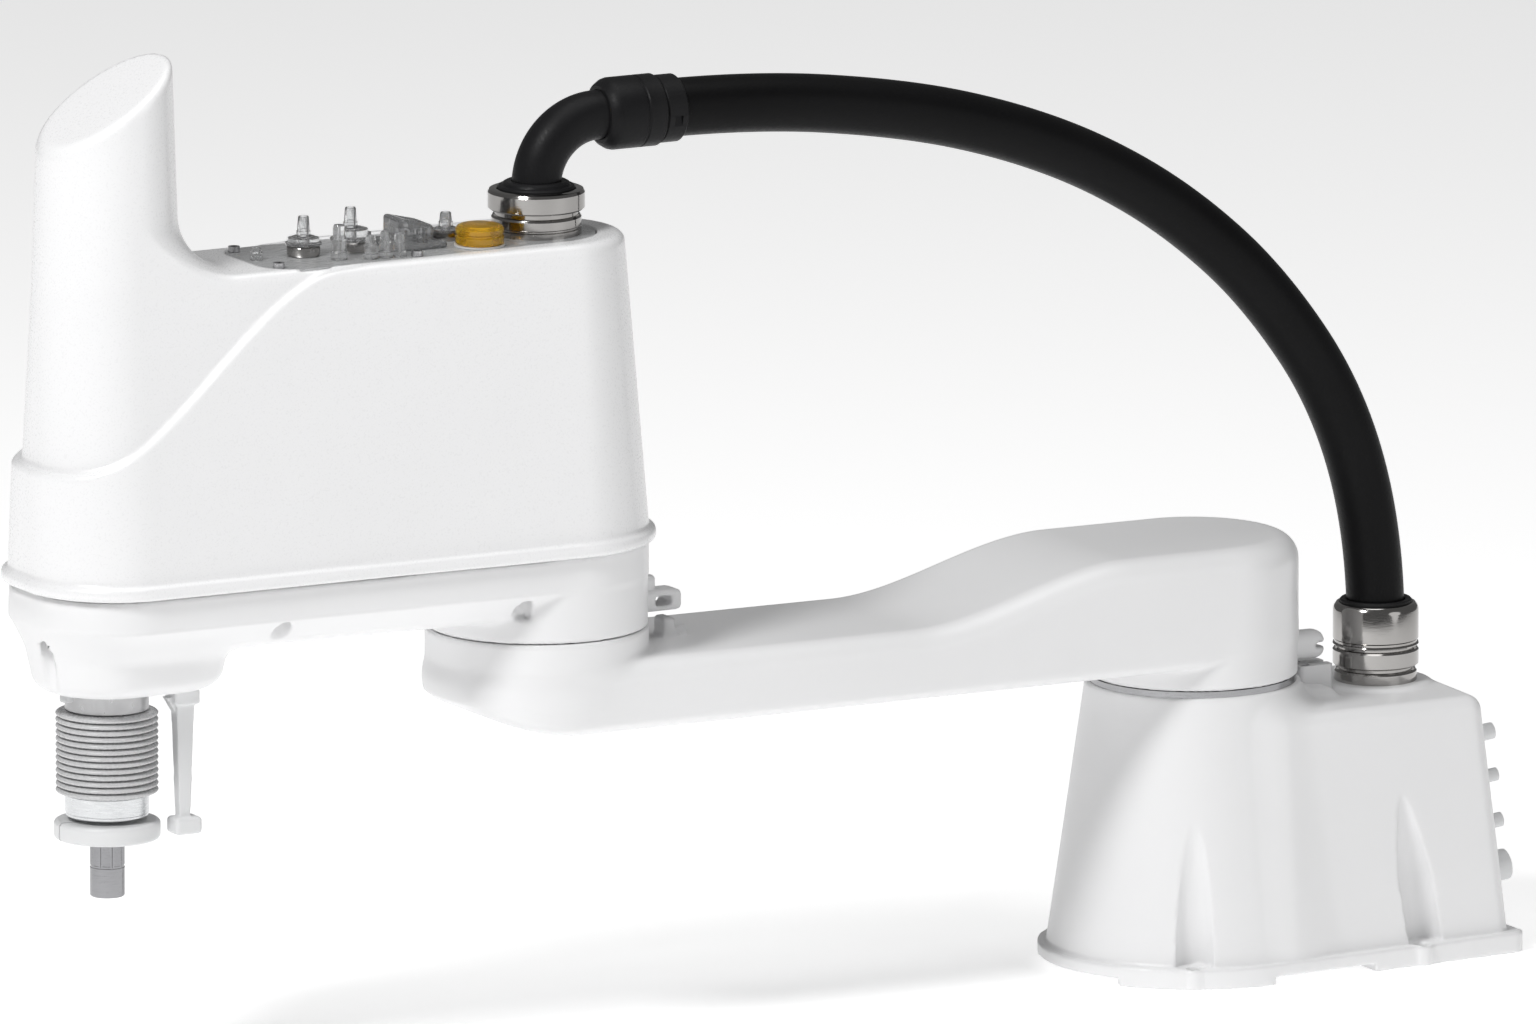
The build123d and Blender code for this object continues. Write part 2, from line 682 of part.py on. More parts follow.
def deck_plate():
    plate = block(438, 646, -38, 38, DECK, DECK_TOP, 8)
    holes = [(ELBOW_X, 0, 27.0), (LAMP_X, LAMP_Y, LAMP_STEM_R + 0.4)]
    holes += [(x, y, FITTING_STEM_R + GAP) for x, y, height, half in FITTINGS]
    holes += [(x, y, PLUG_STEM_R + GAP) for x, y, radius, height in PLUGS]
    holes += [(x, y, 1.7) for x, y in deck_screw_places()]
    for x, y, radius in holes:
        plate -= disc(x, y, DECK - 1, DECK + 3, radius)
    return plate - block(SOCKET_X - 14, SOCKET_X + 14, -16, 16, DECK - 1, DECK + 3, 3)


def deck_screw_places():
    return [(604, 28), (604, -28), (518, 32), (518, -32)]


def deck_screws():
    return group(screw(x, y, DECK_TOP, 1.9, 1.6, 3.4, 3) for x, y in deck_screw_places())


def push_fitting(x, y, height, half):
    """Push-in air fitting: hex body, round neck and a stem through the deck, bored for the tube."""
    top = DECK_TOP + height
    body = hex_bar(x, y, DECK_TOP, DECK_TOP + 6, half * 2)
    body += disc(x, y, DECK_TOP + 6, top - 6, half * 0.82)
    stem = disc(x, y, DECK - 8, DECK_TOP, FITTING_STEM_R)
    return body + stem - disc(x, y, DECK - 9, top + 1, TUBE_BORE_R)


def plug(x, y, radius, height):
    """Blanking plug with a thinner head and a stem through the deck."""
    neck = DECK_TOP + height * 0.6
    body = disc(x, y, DECK_TOP, neck, radius) + disc(x, y, neck, DECK_TOP + height, radius * 0.75)
    return body + disc(x, y, DECK - 3, DECK_TOP, PLUG_STEM_R)


def air_fittings():
    """Fittings for the tool's air tubes, and the plugs that close the unused ports."""
    return group([push_fitting(*place) for place in FITTINGS] + [plug(*place) for place in PLUGS])


def air_fitting_collars():
    """Release collars round the fittings' tube holes."""
    pieces = []
    for x, y, height, half in FITTINGS:
        top = DECK_TOP + height
        pieces.append(ring(x, y, top - 6, top, half * 0.55, TUBE_BORE_R))
    return group(pieces)


def signal_connector():
    """Rectangular user-signal socket with a raised shell and two hex posts."""
    flange_top = DECK_TOP + 3
    flange = block(SOCKET_X - 16, SOCKET_X + 16, -18, 18, DECK_TOP, flange_top, 3)
    shell = block(SOCKET_X - 11, SOCKET_X + 11, -12, 12, flange_top, flange_top + 10, 4)
    mouth = block(SOCKET_X - 9, SOCKET_X + 9, -10, 10, flange_top + 3, flange_top + 11, 3)
    under = block(SOCKET_X - 13, SOCKET_X + 13, -15, 15, DECK - 9, DECK_TOP, 2)
    body = flange + shell + under - mouth
    for y in (-15.2, 15.2):
        body += hex_bar(SOCKET_X, y, flange_top, flange_top + 4, 4)
    return body


def status_lamp():
    """Ribbed lens of the status lamp."""
    lens = disc(LAMP_X, LAMP_Y, DECK_TOP + 1, DECK_TOP + 13, LAMP_R)
    lens = fillet(lens.edges().sort_by(Axis.Z)[-1], 3)
    return lens


def status_lamp_base():
    foot = disc(LAMP_X, LAMP_Y, DECK_TOP, DECK_TOP + 1, LAMP_R + 0.5)
    return foot + disc(LAMP_X, LAMP_Y, DECK - 8, DECK_TOP, LAMP_STEM_R)


def hood_gland():
    bands = [
        (DECK, 475, 25.8), (475, 478, 24.2), (478, 490, 27.8),
    ]
    body = gland(ELBOW_X, DECK, 15.6, bands)
    return body - disc(ELBOW_X, 0, 483, 495, 23.4)


def elbow_collar():
    """Rubber collar that turns with the elbow inside the gland."""
    collar = ring(ELBOW_X, 0, 484, 494, 22.2, ELBOW_TUBE_R + 0.25)
    top_edges = collar.edges().filter_by(GeomType.CIRCLE).group_by(Axis.Z)[-1]
    return fillet(top_edges.sort_by(SortBy.RADIUS)[-1], 2)


# ---- hose ----
def hose_elbow():
    """Bent tube from the gland up and over to the coupling."""
    turn = ELBOW_BEND_R
    rise = Line((ELBOW_X, 0, 472), (ELBOW_X, 0, HOSE_Z - turn))
    mid = (ELBOW_X - turn + turn * math.sqrt(0.5), 0, HOSE_Z - turn + turn * math.sqrt(0.5))
    bend = ThreePointArc((ELBOW_X, 0, HOSE_Z - turn), mid, (ELBOW_X - turn, 0, HOSE_Z))
    run = Line((ELBOW_X - turn, 0, HOSE_Z), (372, 0, HOSE_Z))
    path = Wire([rise, bend, run])
    skin = sweep(Plane(origin=(ELBOW_X, 0, 472)) * Circle(ELBOW_TUBE_R), path=path)
    core = sweep(Plane(origin=(ELBOW_X, 0, 472)) * Circle(ELBOW_TUBE_R - 3), path=path)
    return skin - core


def along_x(x0, x1, r0, r1=None):
    """Cylinder or cone lying along X on the hose's axis."""
    solid = Cone(r0, r1, x1 - x0) if r1 else Cylinder(r0, x1 - x0)
    return Pos((x0 + x1) / 2, 0, HOSE_Z) * Rot(0, 90, 0) * solid


def hose_coupling():
    body = along_x(COUPLING_START, 376, COUPLING_R) + along_x(376, 385, COUPLING_R, 16.8)
    return body - along_x(371, 390, ELBOW_TUBE_R + GAP) - along_x(348, 372, 11.5)


def hose_nut():
    body = along_x(336.5, COUPLING_START - GAP, COUPLING_R - 0.3)
    body = chamfer(body.edges().filter_by(GeomType.CIRCLE), 1)
    body = body - along_x(330, HOSE_END_X, HOSE_R + GAP) - along_x(340, 352, 12.5)
    return body - Pos(343, 19.5, HOSE_Z - 5) * Box(5, 3, 7)


def hose():
    points = [(x, 0, z) for x, z in HOSE_ROUTE]
    radii = []
    for before, here, after in zip(points, points[1:], points[2:]):
        run_in = Vector(*here) - Vector(*before)
        run_out = Vector(*after) - Vector(*here)
        turn = math.radians(run_in.get_angle(run_out))
        radii.append(0.45 * min(run_in.length, run_out.length) / math.tan(turn / 2))
    print("hose radii", [round(r) for r in radii])
    path = FilletPolyline(*points, radius=radii)
    tube = sweep(Plane(origin=points[0]) * Circle(HOSE_R), path=path)
    straight_volume = math.pi * HOSE_R**2 * path.length
    print("hose length", round(path.length), "volume ratio", tube.volume / straight_volume)
    return tube


# ---- quill ----
def bellows_clamp():
    return ring(QUILL_X, 0, 213, BUCKET_BOTTOM, 24, 18)


def bellows():
    """Pleated sleeve round the shaft, between the fixed clamp and the sliding collar."""
    folds, low, high, crest, root, wall = 13, 165.0, 213.0, 29.3, 24.6, 1.2
    pitch = (high - low) / folds
    outer, inner = [(root, low)], [(root - wall, low)]
    for i in range(folds):
        start = low + pitch * i
        outer += [(crest, start + pitch * 0.35), (crest, start + pitch * 0.65), (root, start + pitch)]
        inner += [(crest - wall, start + pitch * 0.5), (root - wall, start + pitch)]
    outer[-1] = (root, high)
    inner[-1] = (root - wall, high)
    return spun(QUILL_X, outer + inner[::-1])


def lower_collar():
    """Sliding collar with a bearing, so the bellows doesn't turn with the shaft."""
    return ring(QUILL_X, 0, 152, 165, 24, SHAFT_R + RUNNING)


def spline_shaft():
    """Hollow shaft with a ground tool seat at its lower end, above a shallow relief groove."""
    shaft = ring(QUILL_X, 0, SHAFT_LOW, SHAFT_HIGH, SHAFT_R, SHAFT_BORE_R)
    shaft -= ring(QUILL_X, 0, SEAT_TOP, SEAT_TOP + 1.2, SHAFT_R + 1, SHAFT_R - 0.3)
    return chamfer(shaft.edges().filter_by(GeomType.CIRCLE).group_by(Axis.Z)[0], 0.6)


def flange_disc():
    """Clamped disc under the collar that stops the quill's up-stroke."""
    plate = ring(QUILL_X, 0, 138.6, 149.5, 30.4, SHAFT_R + RUNNING)
    rims = [e for e in plate.edges().filter_by(GeomType.CIRCLE) if e.radius > 25]
    plate = fillet(rims, 2.5)
    slit = block(QUILL_X + 9, QUILL_X + 31, -0.6, 0.6, 138, 150)
    return plate - slit - Pos(QUILL_X + 21, -11, 144) * Rot(90, 0, 0) * Cylinder(2.2, 40)


def flange_disc_screw():
    body = Pos(QUILL_X + 21, -4, 144) * Rot(90, 0, 0) * Cylinder(2.0, 24)
    return body


def top_stop():
    """Clamp ring at the shaft's top that ends the down-stroke."""
    return ring(QUILL_X, 0, 507, 519, 17, SHAFT_R + RUNNING)


def reference_arm():
    """Tapered arm under the bucket with a foot beside the disc, for setting the quill's zero."""
    x, y = 662.0, 20.0
    mount = block(x - 9, x + 9, y - 7, y + 7, 216, BUCKET_BOTTOM, 2)
    top = Plane.XY.offset(216) * Pos(x, y) * Rectangle(11, 8)
    tip = Plane.XY.offset(150) * Pos(x, y) * Rectangle(7.5, 6)
    foot = block(x - 9.5, x + 7.5, y - 7, y + 7, 141, 151, 3)
    foot = fillet(foot.faces().sort_by(Axis.Z)[0].edges(), 2)
    return mount + loft([tip, top]) + foot


def brake_button():
    """Brake-release button under the bucket."""
    cap = disc(BUTTON_X, BUTTON_Y, BUCKET_BOTTOM - 3.5, BUCKET_BOTTOM + 1.5, BUTTON_R)
    return fillet(cap.edges().sort_by(Axis.Z)[0], 1)


def main():
    os.makedirs("parts", exist_ok=True)
    sub_parts = [
        base_housing, base_rear_panel, base_screws, base_connectors, base_air_ports,
        base_gland, base_gland_seal, base_stop_block,
        a1_motor, a1_motor_rotor, a1_motor_plate, a1_reducer, a1_bearing,
        a1_output_flange, a1_output_screws, inner_arm_casting, a2_output_flange, a2_output_screws,
        outer_arm_casting, hood_screws, a2_bearing, a2_reducer, a2_motor_plate, a2_motor, a2_motor_rotor,
        drive_frame, a3_motor, a3_motor_rotor, a3_belt, ball_screw_nut, ball_nut_bearing,
        a4_motor, a4_motor_rotor, a4_belt, spline_nut, spline_nut_bearing,
        hood, hood_gasket, deck_plate, deck_screws, air_fittings, air_fitting_collars,
        signal_connector, status_lamp, status_lamp_base, hood_gland,
        elbow_collar, hose_elbow, hose_coupling, hose_nut, hose,
        bellows_clamp, bellows, lower_collar, spline_shaft, flange_disc, flange_disc_screw, top_stop,
        reference_arm, brake_button,
    ]
    for make in sub_parts:
        export_step(make(), f"parts/{make.__name__}.step")


main()
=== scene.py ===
import math

import bmesh
import bpy
import numpy as np
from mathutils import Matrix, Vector


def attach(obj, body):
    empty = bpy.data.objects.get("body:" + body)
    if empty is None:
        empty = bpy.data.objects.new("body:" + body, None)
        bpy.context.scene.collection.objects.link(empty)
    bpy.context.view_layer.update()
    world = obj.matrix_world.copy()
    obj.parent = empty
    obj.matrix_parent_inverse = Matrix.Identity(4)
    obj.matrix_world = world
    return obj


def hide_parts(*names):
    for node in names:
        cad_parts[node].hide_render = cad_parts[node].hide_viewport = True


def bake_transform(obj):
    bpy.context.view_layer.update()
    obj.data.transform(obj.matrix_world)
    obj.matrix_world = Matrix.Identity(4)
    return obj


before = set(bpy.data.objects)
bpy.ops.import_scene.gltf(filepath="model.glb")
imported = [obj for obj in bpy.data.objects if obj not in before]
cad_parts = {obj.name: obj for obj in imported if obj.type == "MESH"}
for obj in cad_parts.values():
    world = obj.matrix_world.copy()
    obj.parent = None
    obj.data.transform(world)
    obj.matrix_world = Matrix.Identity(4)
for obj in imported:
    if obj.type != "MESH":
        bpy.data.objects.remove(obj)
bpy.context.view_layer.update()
MM = 0.001

# ---- places, in millimetres, as in the frame ----
ELBOW_X = 425.0
QUILL_X = 700.0
GLAND_X = -120.0
HOSE_Z = 528.5
HOSE_R = 16.75
DECK = 462.0              # underside of the deck plate
DECK_TOP = 464.0          # what stands on the deck starts here
HOOD_LOW = 286.5
SOCKET_X = 507.0
LAMP_X, LAMP_Y = 472.0, 20.5
FITTINGS = (              # x, y, height above the deck, size
    (574.0, 0.0, 22.5, 1.0), (544.0, 0.0, 25.0, 1.12), (480.0, -6.0, 15.5, 0.85),
)
PLUGS = (                 # x, y, radius, height above the deck
    (604.0, 0.0, 3.5, 7.5), (562.0, 21.0, 4.8, 20.0), (545.0, 27.0, 4.2, 13.0),
    (536.0, 28.0, 4.2, 15.0), (527.0, 28.0, 4.2, 13.0),
)
ROUTE = [                 # x, z of the hose's control points
    (-120, 182), (-120, 234), (-96, 319), (-47, 389), (6, 437),
    (62, 472), (122, 497), (189, 515), (285, HOSE_Z), (346, HOSE_Z),
]


# ---- camera ----
CAMERA_DISTANCE = 24.39
CAMERA_FAR = 100.0
CAMERA_LENS = 1000.0
CAMERA_LOOK = (0.2759, 0.0, 0.2877)
CAMERA_TURN, CAMERA_RISE = 152.2, 11.2


def add_camera():
    """Long lens on the arm's left, a little ahead of it and above."""
    camera = bpy.data.cameras.new("camera")
    camera.lens, camera.sensor_width = CAMERA_LENS, 36.0
    camera.clip_end = CAMERA_FAR
    look = Vector(CAMERA_LOOK)
    turn, rise = math.radians(CAMERA_TURN), math.radians(CAMERA_RISE)
    back = Vector((math.sin(turn) * math.cos(rise), -math.cos(turn) * math.cos(rise), math.sin(rise)))
    body = bpy.data.objects.new("camera", camera)
    body.location = look + back * CAMERA_DISTANCE
    body.rotation_euler = (-back).to_track_quat("-Z", "Y").to_euler()
    bpy.context.scene.collection.objects.link(body)
    bpy.context.scene.camera = body


add_camera()


# ---- materials ----
WORN_KEEP, WORN_GREY = 0.95, 0.012    # worn edge: this share of the colour, plus this much grey
WEAR_FROM, WEAR_TO = 0.53, 0.63       # pointiness of an edge where wear starts and is full
PATCH_SCALE = 6.0
BUMP_STRENGTH = 0.5
COAT_ROUGH = 0.12
PLASTIC_IOR = 1.46


def new_material(name, color, rough, metal=0.0):
    """A plain material and its shader node."""
    material = bpy.data.materials.new(name)
    material.use_nodes = True
    shader = material.node_tree.nodes["Principled BSDF"]
    shader.inputs["Base Color"].default_value = (*color, 1.0)
    shader.inputs["Roughness"].default_value = rough
    shader.inputs["Metallic"].default_value = metal
    return material, shader


def noise(tree, scale, detail=3.0, stretch=None):
    """Noise in the object's own space; stretch squeezes it along an axis for brushed grain."""
    coords = tree.nodes.new("ShaderNodeTexCoord")
    texture = tree.nodes.new("ShaderNodeTexNoise")
    texture.inputs["Scale"].default_value = scale
    texture.inputs["Detail"].default_value = detail
    source = coords.outputs["Object"]
    if stretch:
        mapping = tree.nodes.new("ShaderNodeMapping")
        mapping.inputs["Scale"].default_value = stretch
        tree.links.new(source, mapping.inputs["Vector"])
        source = mapping.outputs["Vector"]
    tree.links.new(source, texture.inputs["Vector"])
    return texture.outputs["Fac"]


def ramp(tree, source, low, high, start=0.3, end=0.7):
    """Maps a 0 to 1 value onto a range of numbers."""
    node = tree.nodes.new("ShaderNodeMapRange")
    node.inputs["From Min"].default_value = start
    node.inputs["From Max"].default_value = end
    node.inputs["To Min"].default_value = low
    node.inputs["To Max"].default_value = high
    tree.links.new(source, node.inputs["Value"])
    return node.outputs["Result"]


def mix_colors(tree, factor, color_b):
    """Colour mix towards color_b; returns the node, whose A input is left for the caller."""
    mix = tree.nodes.new("ShaderNodeMix")
    mix.data_type = "RGBA"
    mix.inputs["B"].default_value = (*color_b, 1.0)
    tree.links.new(factor, mix.inputs["Factor"])
    return mix


def tint(tree, shader, source, color_a, color_b):
    """Patches between two colours, rubbed to a duller or brighter tone along the edges."""
    patches = mix_colors(tree, source, color_b)
    patches.inputs["A"].default_value = (*color_a, 1.0)
    worn = mix_colors(tree, edge_wear(tree), tuple(WORN_KEEP * c + WORN_GREY for c in color_a))
    tree.links.new(patches.outputs["Result"], worn.inputs["A"])
    tree.links.new(worn.outputs["Result"], shader.inputs["Base Color"])


def bump(tree, shader, source, depth):
    """Fine relief, depth in metres."""
    node = tree.nodes.new("ShaderNodeBump")
    node.inputs["Distance"].default_value = depth
    node.inputs["Strength"].default_value = BUMP_STRENGTH
    tree.links.new(source, node.inputs["Height"])
    tree.links.new(node.outputs["Normal"], shader.inputs["Normal"])


def edge_wear(tree):
    """0 on open surfaces, 1 on convex edges."""
    geometry = tree.nodes.new("ShaderNodeNewGeometry")
    return ramp(tree, geometry.outputs["Pointiness"], 0.0, 1.0, WEAR_FROM, WEAR_TO)


def surface(name, color, other, rough, spread, grain, depth, metal=0.0, coat=0.0, sheen=0.5, stretch=None):
    """A finish with uneven colour and gloss in large patches and a fine grain in relief."""
    material, shader = new_material(name, color, rough, metal)
    tree = material.node_tree
    patches = noise(tree, PATCH_SCALE, 4.0)
    tint(tree, shader, ramp(tree, patches, 0.0, 1.0), color, other)
    fine = noise(tree, grain, 2.0, stretch)
    tree.links.new(ramp(tree, fine, rough - spread, rough + spread), shader.inputs["Roughness"])
    bump(tree, shader, fine, depth)
    shader.inputs["Specular IOR Level"].default_value = sheen
    if coat:
        shader.inputs["Coat Weight"].default_value = coat
        shader.inputs["Coat Roughness"].default_value = COAT_ROUGH
    return material


def clear(name, color, rough, weight):
    """Clear or tinted moulded plastic with faint flow lines."""
    duller = tuple(c * 0.9 for c in color)
    material = surface(name, color, duller, rough, spread=0.05, grain=260.0, depth=0.00015)
    shader = material.node_tree.nodes["Principled BSDF"]
    shader.inputs["Transmission Weight"].default_value = weight
    shader.inputs["IOR"].default_value = PLASTIC_IOR
    return material


FINISH = {
    "casting": surface(
        "white_powder_coat", (0.80, 0.80, 0.805), (0.83, 0.83, 0.835),
        rough=0.40, spread=0.06, grain=1400.0, depth=0.00004, coat=0.2,
    ),
    "cover": surface(
        "white_moulded_cover", (0.85, 0.85, 0.855), (0.83, 0.83, 0.835),
        rough=0.30, spread=0.05, grain=900.0, depth=0.00001, coat=0.4,
    ),
    "black": surface(
        "satin_black_moulding", (0.006, 0.006, 0.0065), (0.011, 0.011, 0.012),
        rough=0.45, spread=0.08, grain=800.0, depth=0.00012, sheen=0.12,
    ),
    "hose": surface(
        "satin_black_hose", (0.003, 0.003, 0.0032), (0.006, 0.006, 0.0065),
        rough=0.42, spread=0.07, grain=600.0, depth=0.00015, sheen=0.1,
    ),
    "nickel": surface(
        "nickel_plate", (0.40, 0.39, 0.38), (0.33, 0.32, 0.31),
        rough=0.12, spread=0.05, grain=160.0, depth=0.00003, metal=1.0, stretch=(1, 1, 12),
    ),
    "deck": surface(
        "brushed_deck_plate", (0.62, 0.625, 0.63), (0.56, 0.565, 0.57),
        rough=0.30, spread=0.08, grain=90.0, depth=0.00003, metal=0.55, stretch=(1, 20, 20),
    ),
    "turned": surface(
        "turned_aluminium", (0.72, 0.73, 0.74), (0.64, 0.65, 0.66),
        rough=0.28, spread=0.08, grain=120.0, depth=0.00006, metal=1.0, stretch=(1, 1, 25),
    ),
    "steel": surface(
        "ground_steel", (0.34, 0.34, 0.35), (0.24, 0.24, 0.25),
        rough=0.20, spread=0.09, grain=110.0, depth=0.00005, metal=1.0, stretch=(1, 1, 20),
    ),
    "zinc": surface(
        "zinc_plated_screw", (0.55, 0.55, 0.56), (0.45, 0.45, 0.46),
        rough=0.32, spread=0.10, grain=500.0, depth=0.0001, metal=1.0,
    ),
    "grey": surface(
        "light_grey_moulding", (0.60, 0.605, 0.61), (0.55, 0.555, 0.56),
        rough=0.40, spread=0.08, grain=600.0, depth=0.0001,
    ),
    "pale": surface(
        "pale_satin_moulding", (0.74, 0.745, 0.75), (0.70, 0.705, 0.71),
        rough=0.36, spread=0.07, grain=600.0, depth=0.0001,
    ),
    "bellows": surface(
        "grey_bellows", (0.52, 0.52, 0.525), (0.57, 0.57, 0.575),
        rough=0.28, spread=0.07, grain=500.0, depth=0.00008,
    ),
    "smoke": clear("smoke_grey_moulding", (0.42, 0.425, 0.43), rough=0.10, weight=0.75),
    "motor": surface(
        "black_anodised_motor", (0.03, 0.03, 0.032), (0.05, 0.05, 0.052),
        rough=0.45, spread=0.1, grain=500.0, depth=0.0001, metal=0.6,
    ),
    "belt": surface(
        "belt_rubber", (0.015, 0.015, 0.015), (0.03, 0.03, 0.03),
        rough=0.7, spread=0.1, grain=900.0, depth=0.0003,
    ),
    "foam": surface(
        "gasket_foam", (0.5, 0.5, 0.5), (0.42, 0.42, 0.42),
        rough=0.8, spread=0.1, grain=1500.0, depth=0.0004,
    ),
    "zinc_ring": surface(
        "grey_clamp_ring", (0.50, 0.50, 0.505), (0.44, 0.44, 0.445),
        rough=0.34, spread=0.08, grain=200.0, depth=0.00005, metal=0.7,
    ),
    "clear": clear("smoky_clear_plastic", (0.90, 0.905, 0.91), rough=0.05, weight=0.92),
    "amber": clear("amber_lens", (0.98, 0.66, 0.05), rough=0.06, weight=0.85),
}

NODE_FINISH = {
    "casting": "base_housing inner_arm_casting outer_arm_casting base_stop_block base_rear_panel",
    "cover": "hood",
    "black": "hose_elbow hose_coupling hose_nut elbow_collar base_gland_seal",
    "hose": "hose",
    "nickel": "base_gland hood_gland",
    "deck": "deck_plate drive_frame",
    "turned": "a1_motor_plate a2_motor_plate top_stop",
    "pale": "bellows_clamp lower_collar flange_disc reference_arm base_air_ports base_connectors",
    "steel": "spline_shaft a1_motor_rotor a2_motor_rotor a3_motor_rotor a4_motor_rotor "
             "a1_output_flange a2_output_flange a1_reducer a2_reducer a1_bearing a2_bearing "
             "ball_nut_bearing spline_nut_bearing ball_screw_nut spline_nut",
    "zinc": "base_screws a1_output_screws a2_output_screws hood_screws deck_screws flange_disc_screw",
    "grey": "signal_connector status_lamp_base brake_button",
    "bellows": "bellows",
    "motor": "a1_motor a2_motor a3_motor a4_motor",
    "belt": "a3_belt a4_belt",
    "foam": "hood_gasket",
    "clear": "air_fittings air_fitting_collars",
    "amber": "status_lamp",
}


def finish_nodes():
    """Gives each CAD mesh its finish."""
    for finish, names in NODE_FINISH.items():
        for name in names.split():
            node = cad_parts[name]
            node.data.materials.clear()
            node.data.materials.append(FINISH[finish])


finish_nodes()


# ---- mesh helpers ----
SHARP_ANGLE, BEVEL_ANGLE = 28.0, 30.0     # degrees between faces: shaded sharp, and rounded
BEVEL_WIDTH = 0.5


def add_mesh(name, points, faces, finish, smooth=True):
    """A new piece from points in metres and faces."""
    mesh = bpy.data.meshes.new(name)
    mesh.from_pydata([tuple(p) for p in points], [], [tuple(f) for f in faces])
    mesh.materials.append(FINISH[finish])
    mesh.update()
    piece = bpy.data.objects.new(name, mesh)
    bpy.context.scene.collection.objects.link(piece)
    if smooth:
        mesh.polygons.foreach_set("use_smooth", [True] * len(mesh.polygons))
    return piece


def lathe(name, spots, finish, turns=96, carve=None, lying=False):
    """Solids turned about upright axes; each spot is an axis x, y and a closed loop of (radius, height),
    in mm. carve(radius, height, angle) may change the radius; lying turns about the hose's run instead."""
    points, faces = [], []
    for ax, ay, profile in spots:
        count, first = len(profile), len(points)
        for i in range(turns):
            angle = 2 * math.pi * i / turns
            for r, z in profile:
                r = carve(r, z, angle) if carve else r
                across, deep = r * math.cos(angle), r * math.sin(angle)
                spot = (z, deep, HOSE_Z - across) if lying else (ax + across, ay + deep, z)
                points.append([v * MM for v in spot])
            for j in range(count):
                a, b = i * count + j, i * count + (j + 1) % count
                c, d = (i + 1) % turns * count + (j + 1) % count, (i + 1) % turns * count + j
                faces.append([first + k for k in (a, d, c, b)])
    piece = add_mesh(name, points, faces, finish)
    bm = bmesh.new()
    bm.from_mesh(piece.data)
    bmesh.ops.recalc_face_normals(bm, faces=bm.faces)
    bm.to_mesh(piece.data)
    bm.free()
    piece.data.set_sharp_from_angle(angle=math.radians(SHARP_ANGLE))
    return piece


def place(piece, body, slot, *nodes):
    """Puts a piece on its moving body instead of the nodes it shows; the slot is not used."""
    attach(piece, body)
    if nodes:
        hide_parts(*nodes)


def soften(piece):
    """Rounds the sharp edges of a turned or boxy piece."""
    bevel = piece.modifiers.new("bevel", "BEVEL")
    bevel.width = BEVEL_WIDTH * MM
    bevel.segments = 3
    bevel.limit_method = "ANGLE"
    bevel.angle_limit = math.radians(BEVEL_ANGLE)
    bevel.harden_normals = True


# ---- distance shapes for the castings, in mm ----
def union(a, b, r):
    """Joins two distances with a concave fillet of radius r."""
    return np.maximum(r, np.minimum(a, b)) - np.hypot(np.maximum(r - a, 0), np.maximum(r - b, 0))


def common(a, b, r):
    """Intersects two distances with a rounded edge of radius r."""
    return -union(-a, -b, r)


def lift(z, low, high):
    """Share of the way from one height to another, kept between 0 and 1."""
    return np.clip((z - low) / (high - low), 0, 1)


def ease(t):
    """Smooth step from 0 to 1."""
    return t * t * (3 - 2 * t)


def stadium(x, y, x0, x1, half, radius):
    """Plan distance to a box from x0 to x1, half wide, inflated by radius."""
    dx = np.maximum(np.maximum(x0 - x, x - x1), 0)
    dy = np.maximum(np.abs(y) - half, 0)
    inside = np.minimum(np.maximum(np.maximum(x0 - x, x - x1), np.abs(y) - half), 0)
    return np.hypot(dx, dy) + inside - radius


def post(x, y, cx, cy, radius):
    """Plan distance to an upright round post."""
    return np.hypot(x - cx, y - cy) - radius


def brick(x, y, z, centre, half, r):
    """Distance to a box of these half sizes, with edges rounded by r."""
    dx, dy, dz = (np.abs(v - c) - h + r for v, c, h in zip((x, y, z), centre, half))
    outside = np.sqrt(np.maximum(dx, 0) ** 2 + np.maximum(dy, 0) ** 2 + np.maximum(dz, 0) ** 2)
    return outside + np.minimum(np.maximum(np.maximum(dx, dy), dz), 0) - r


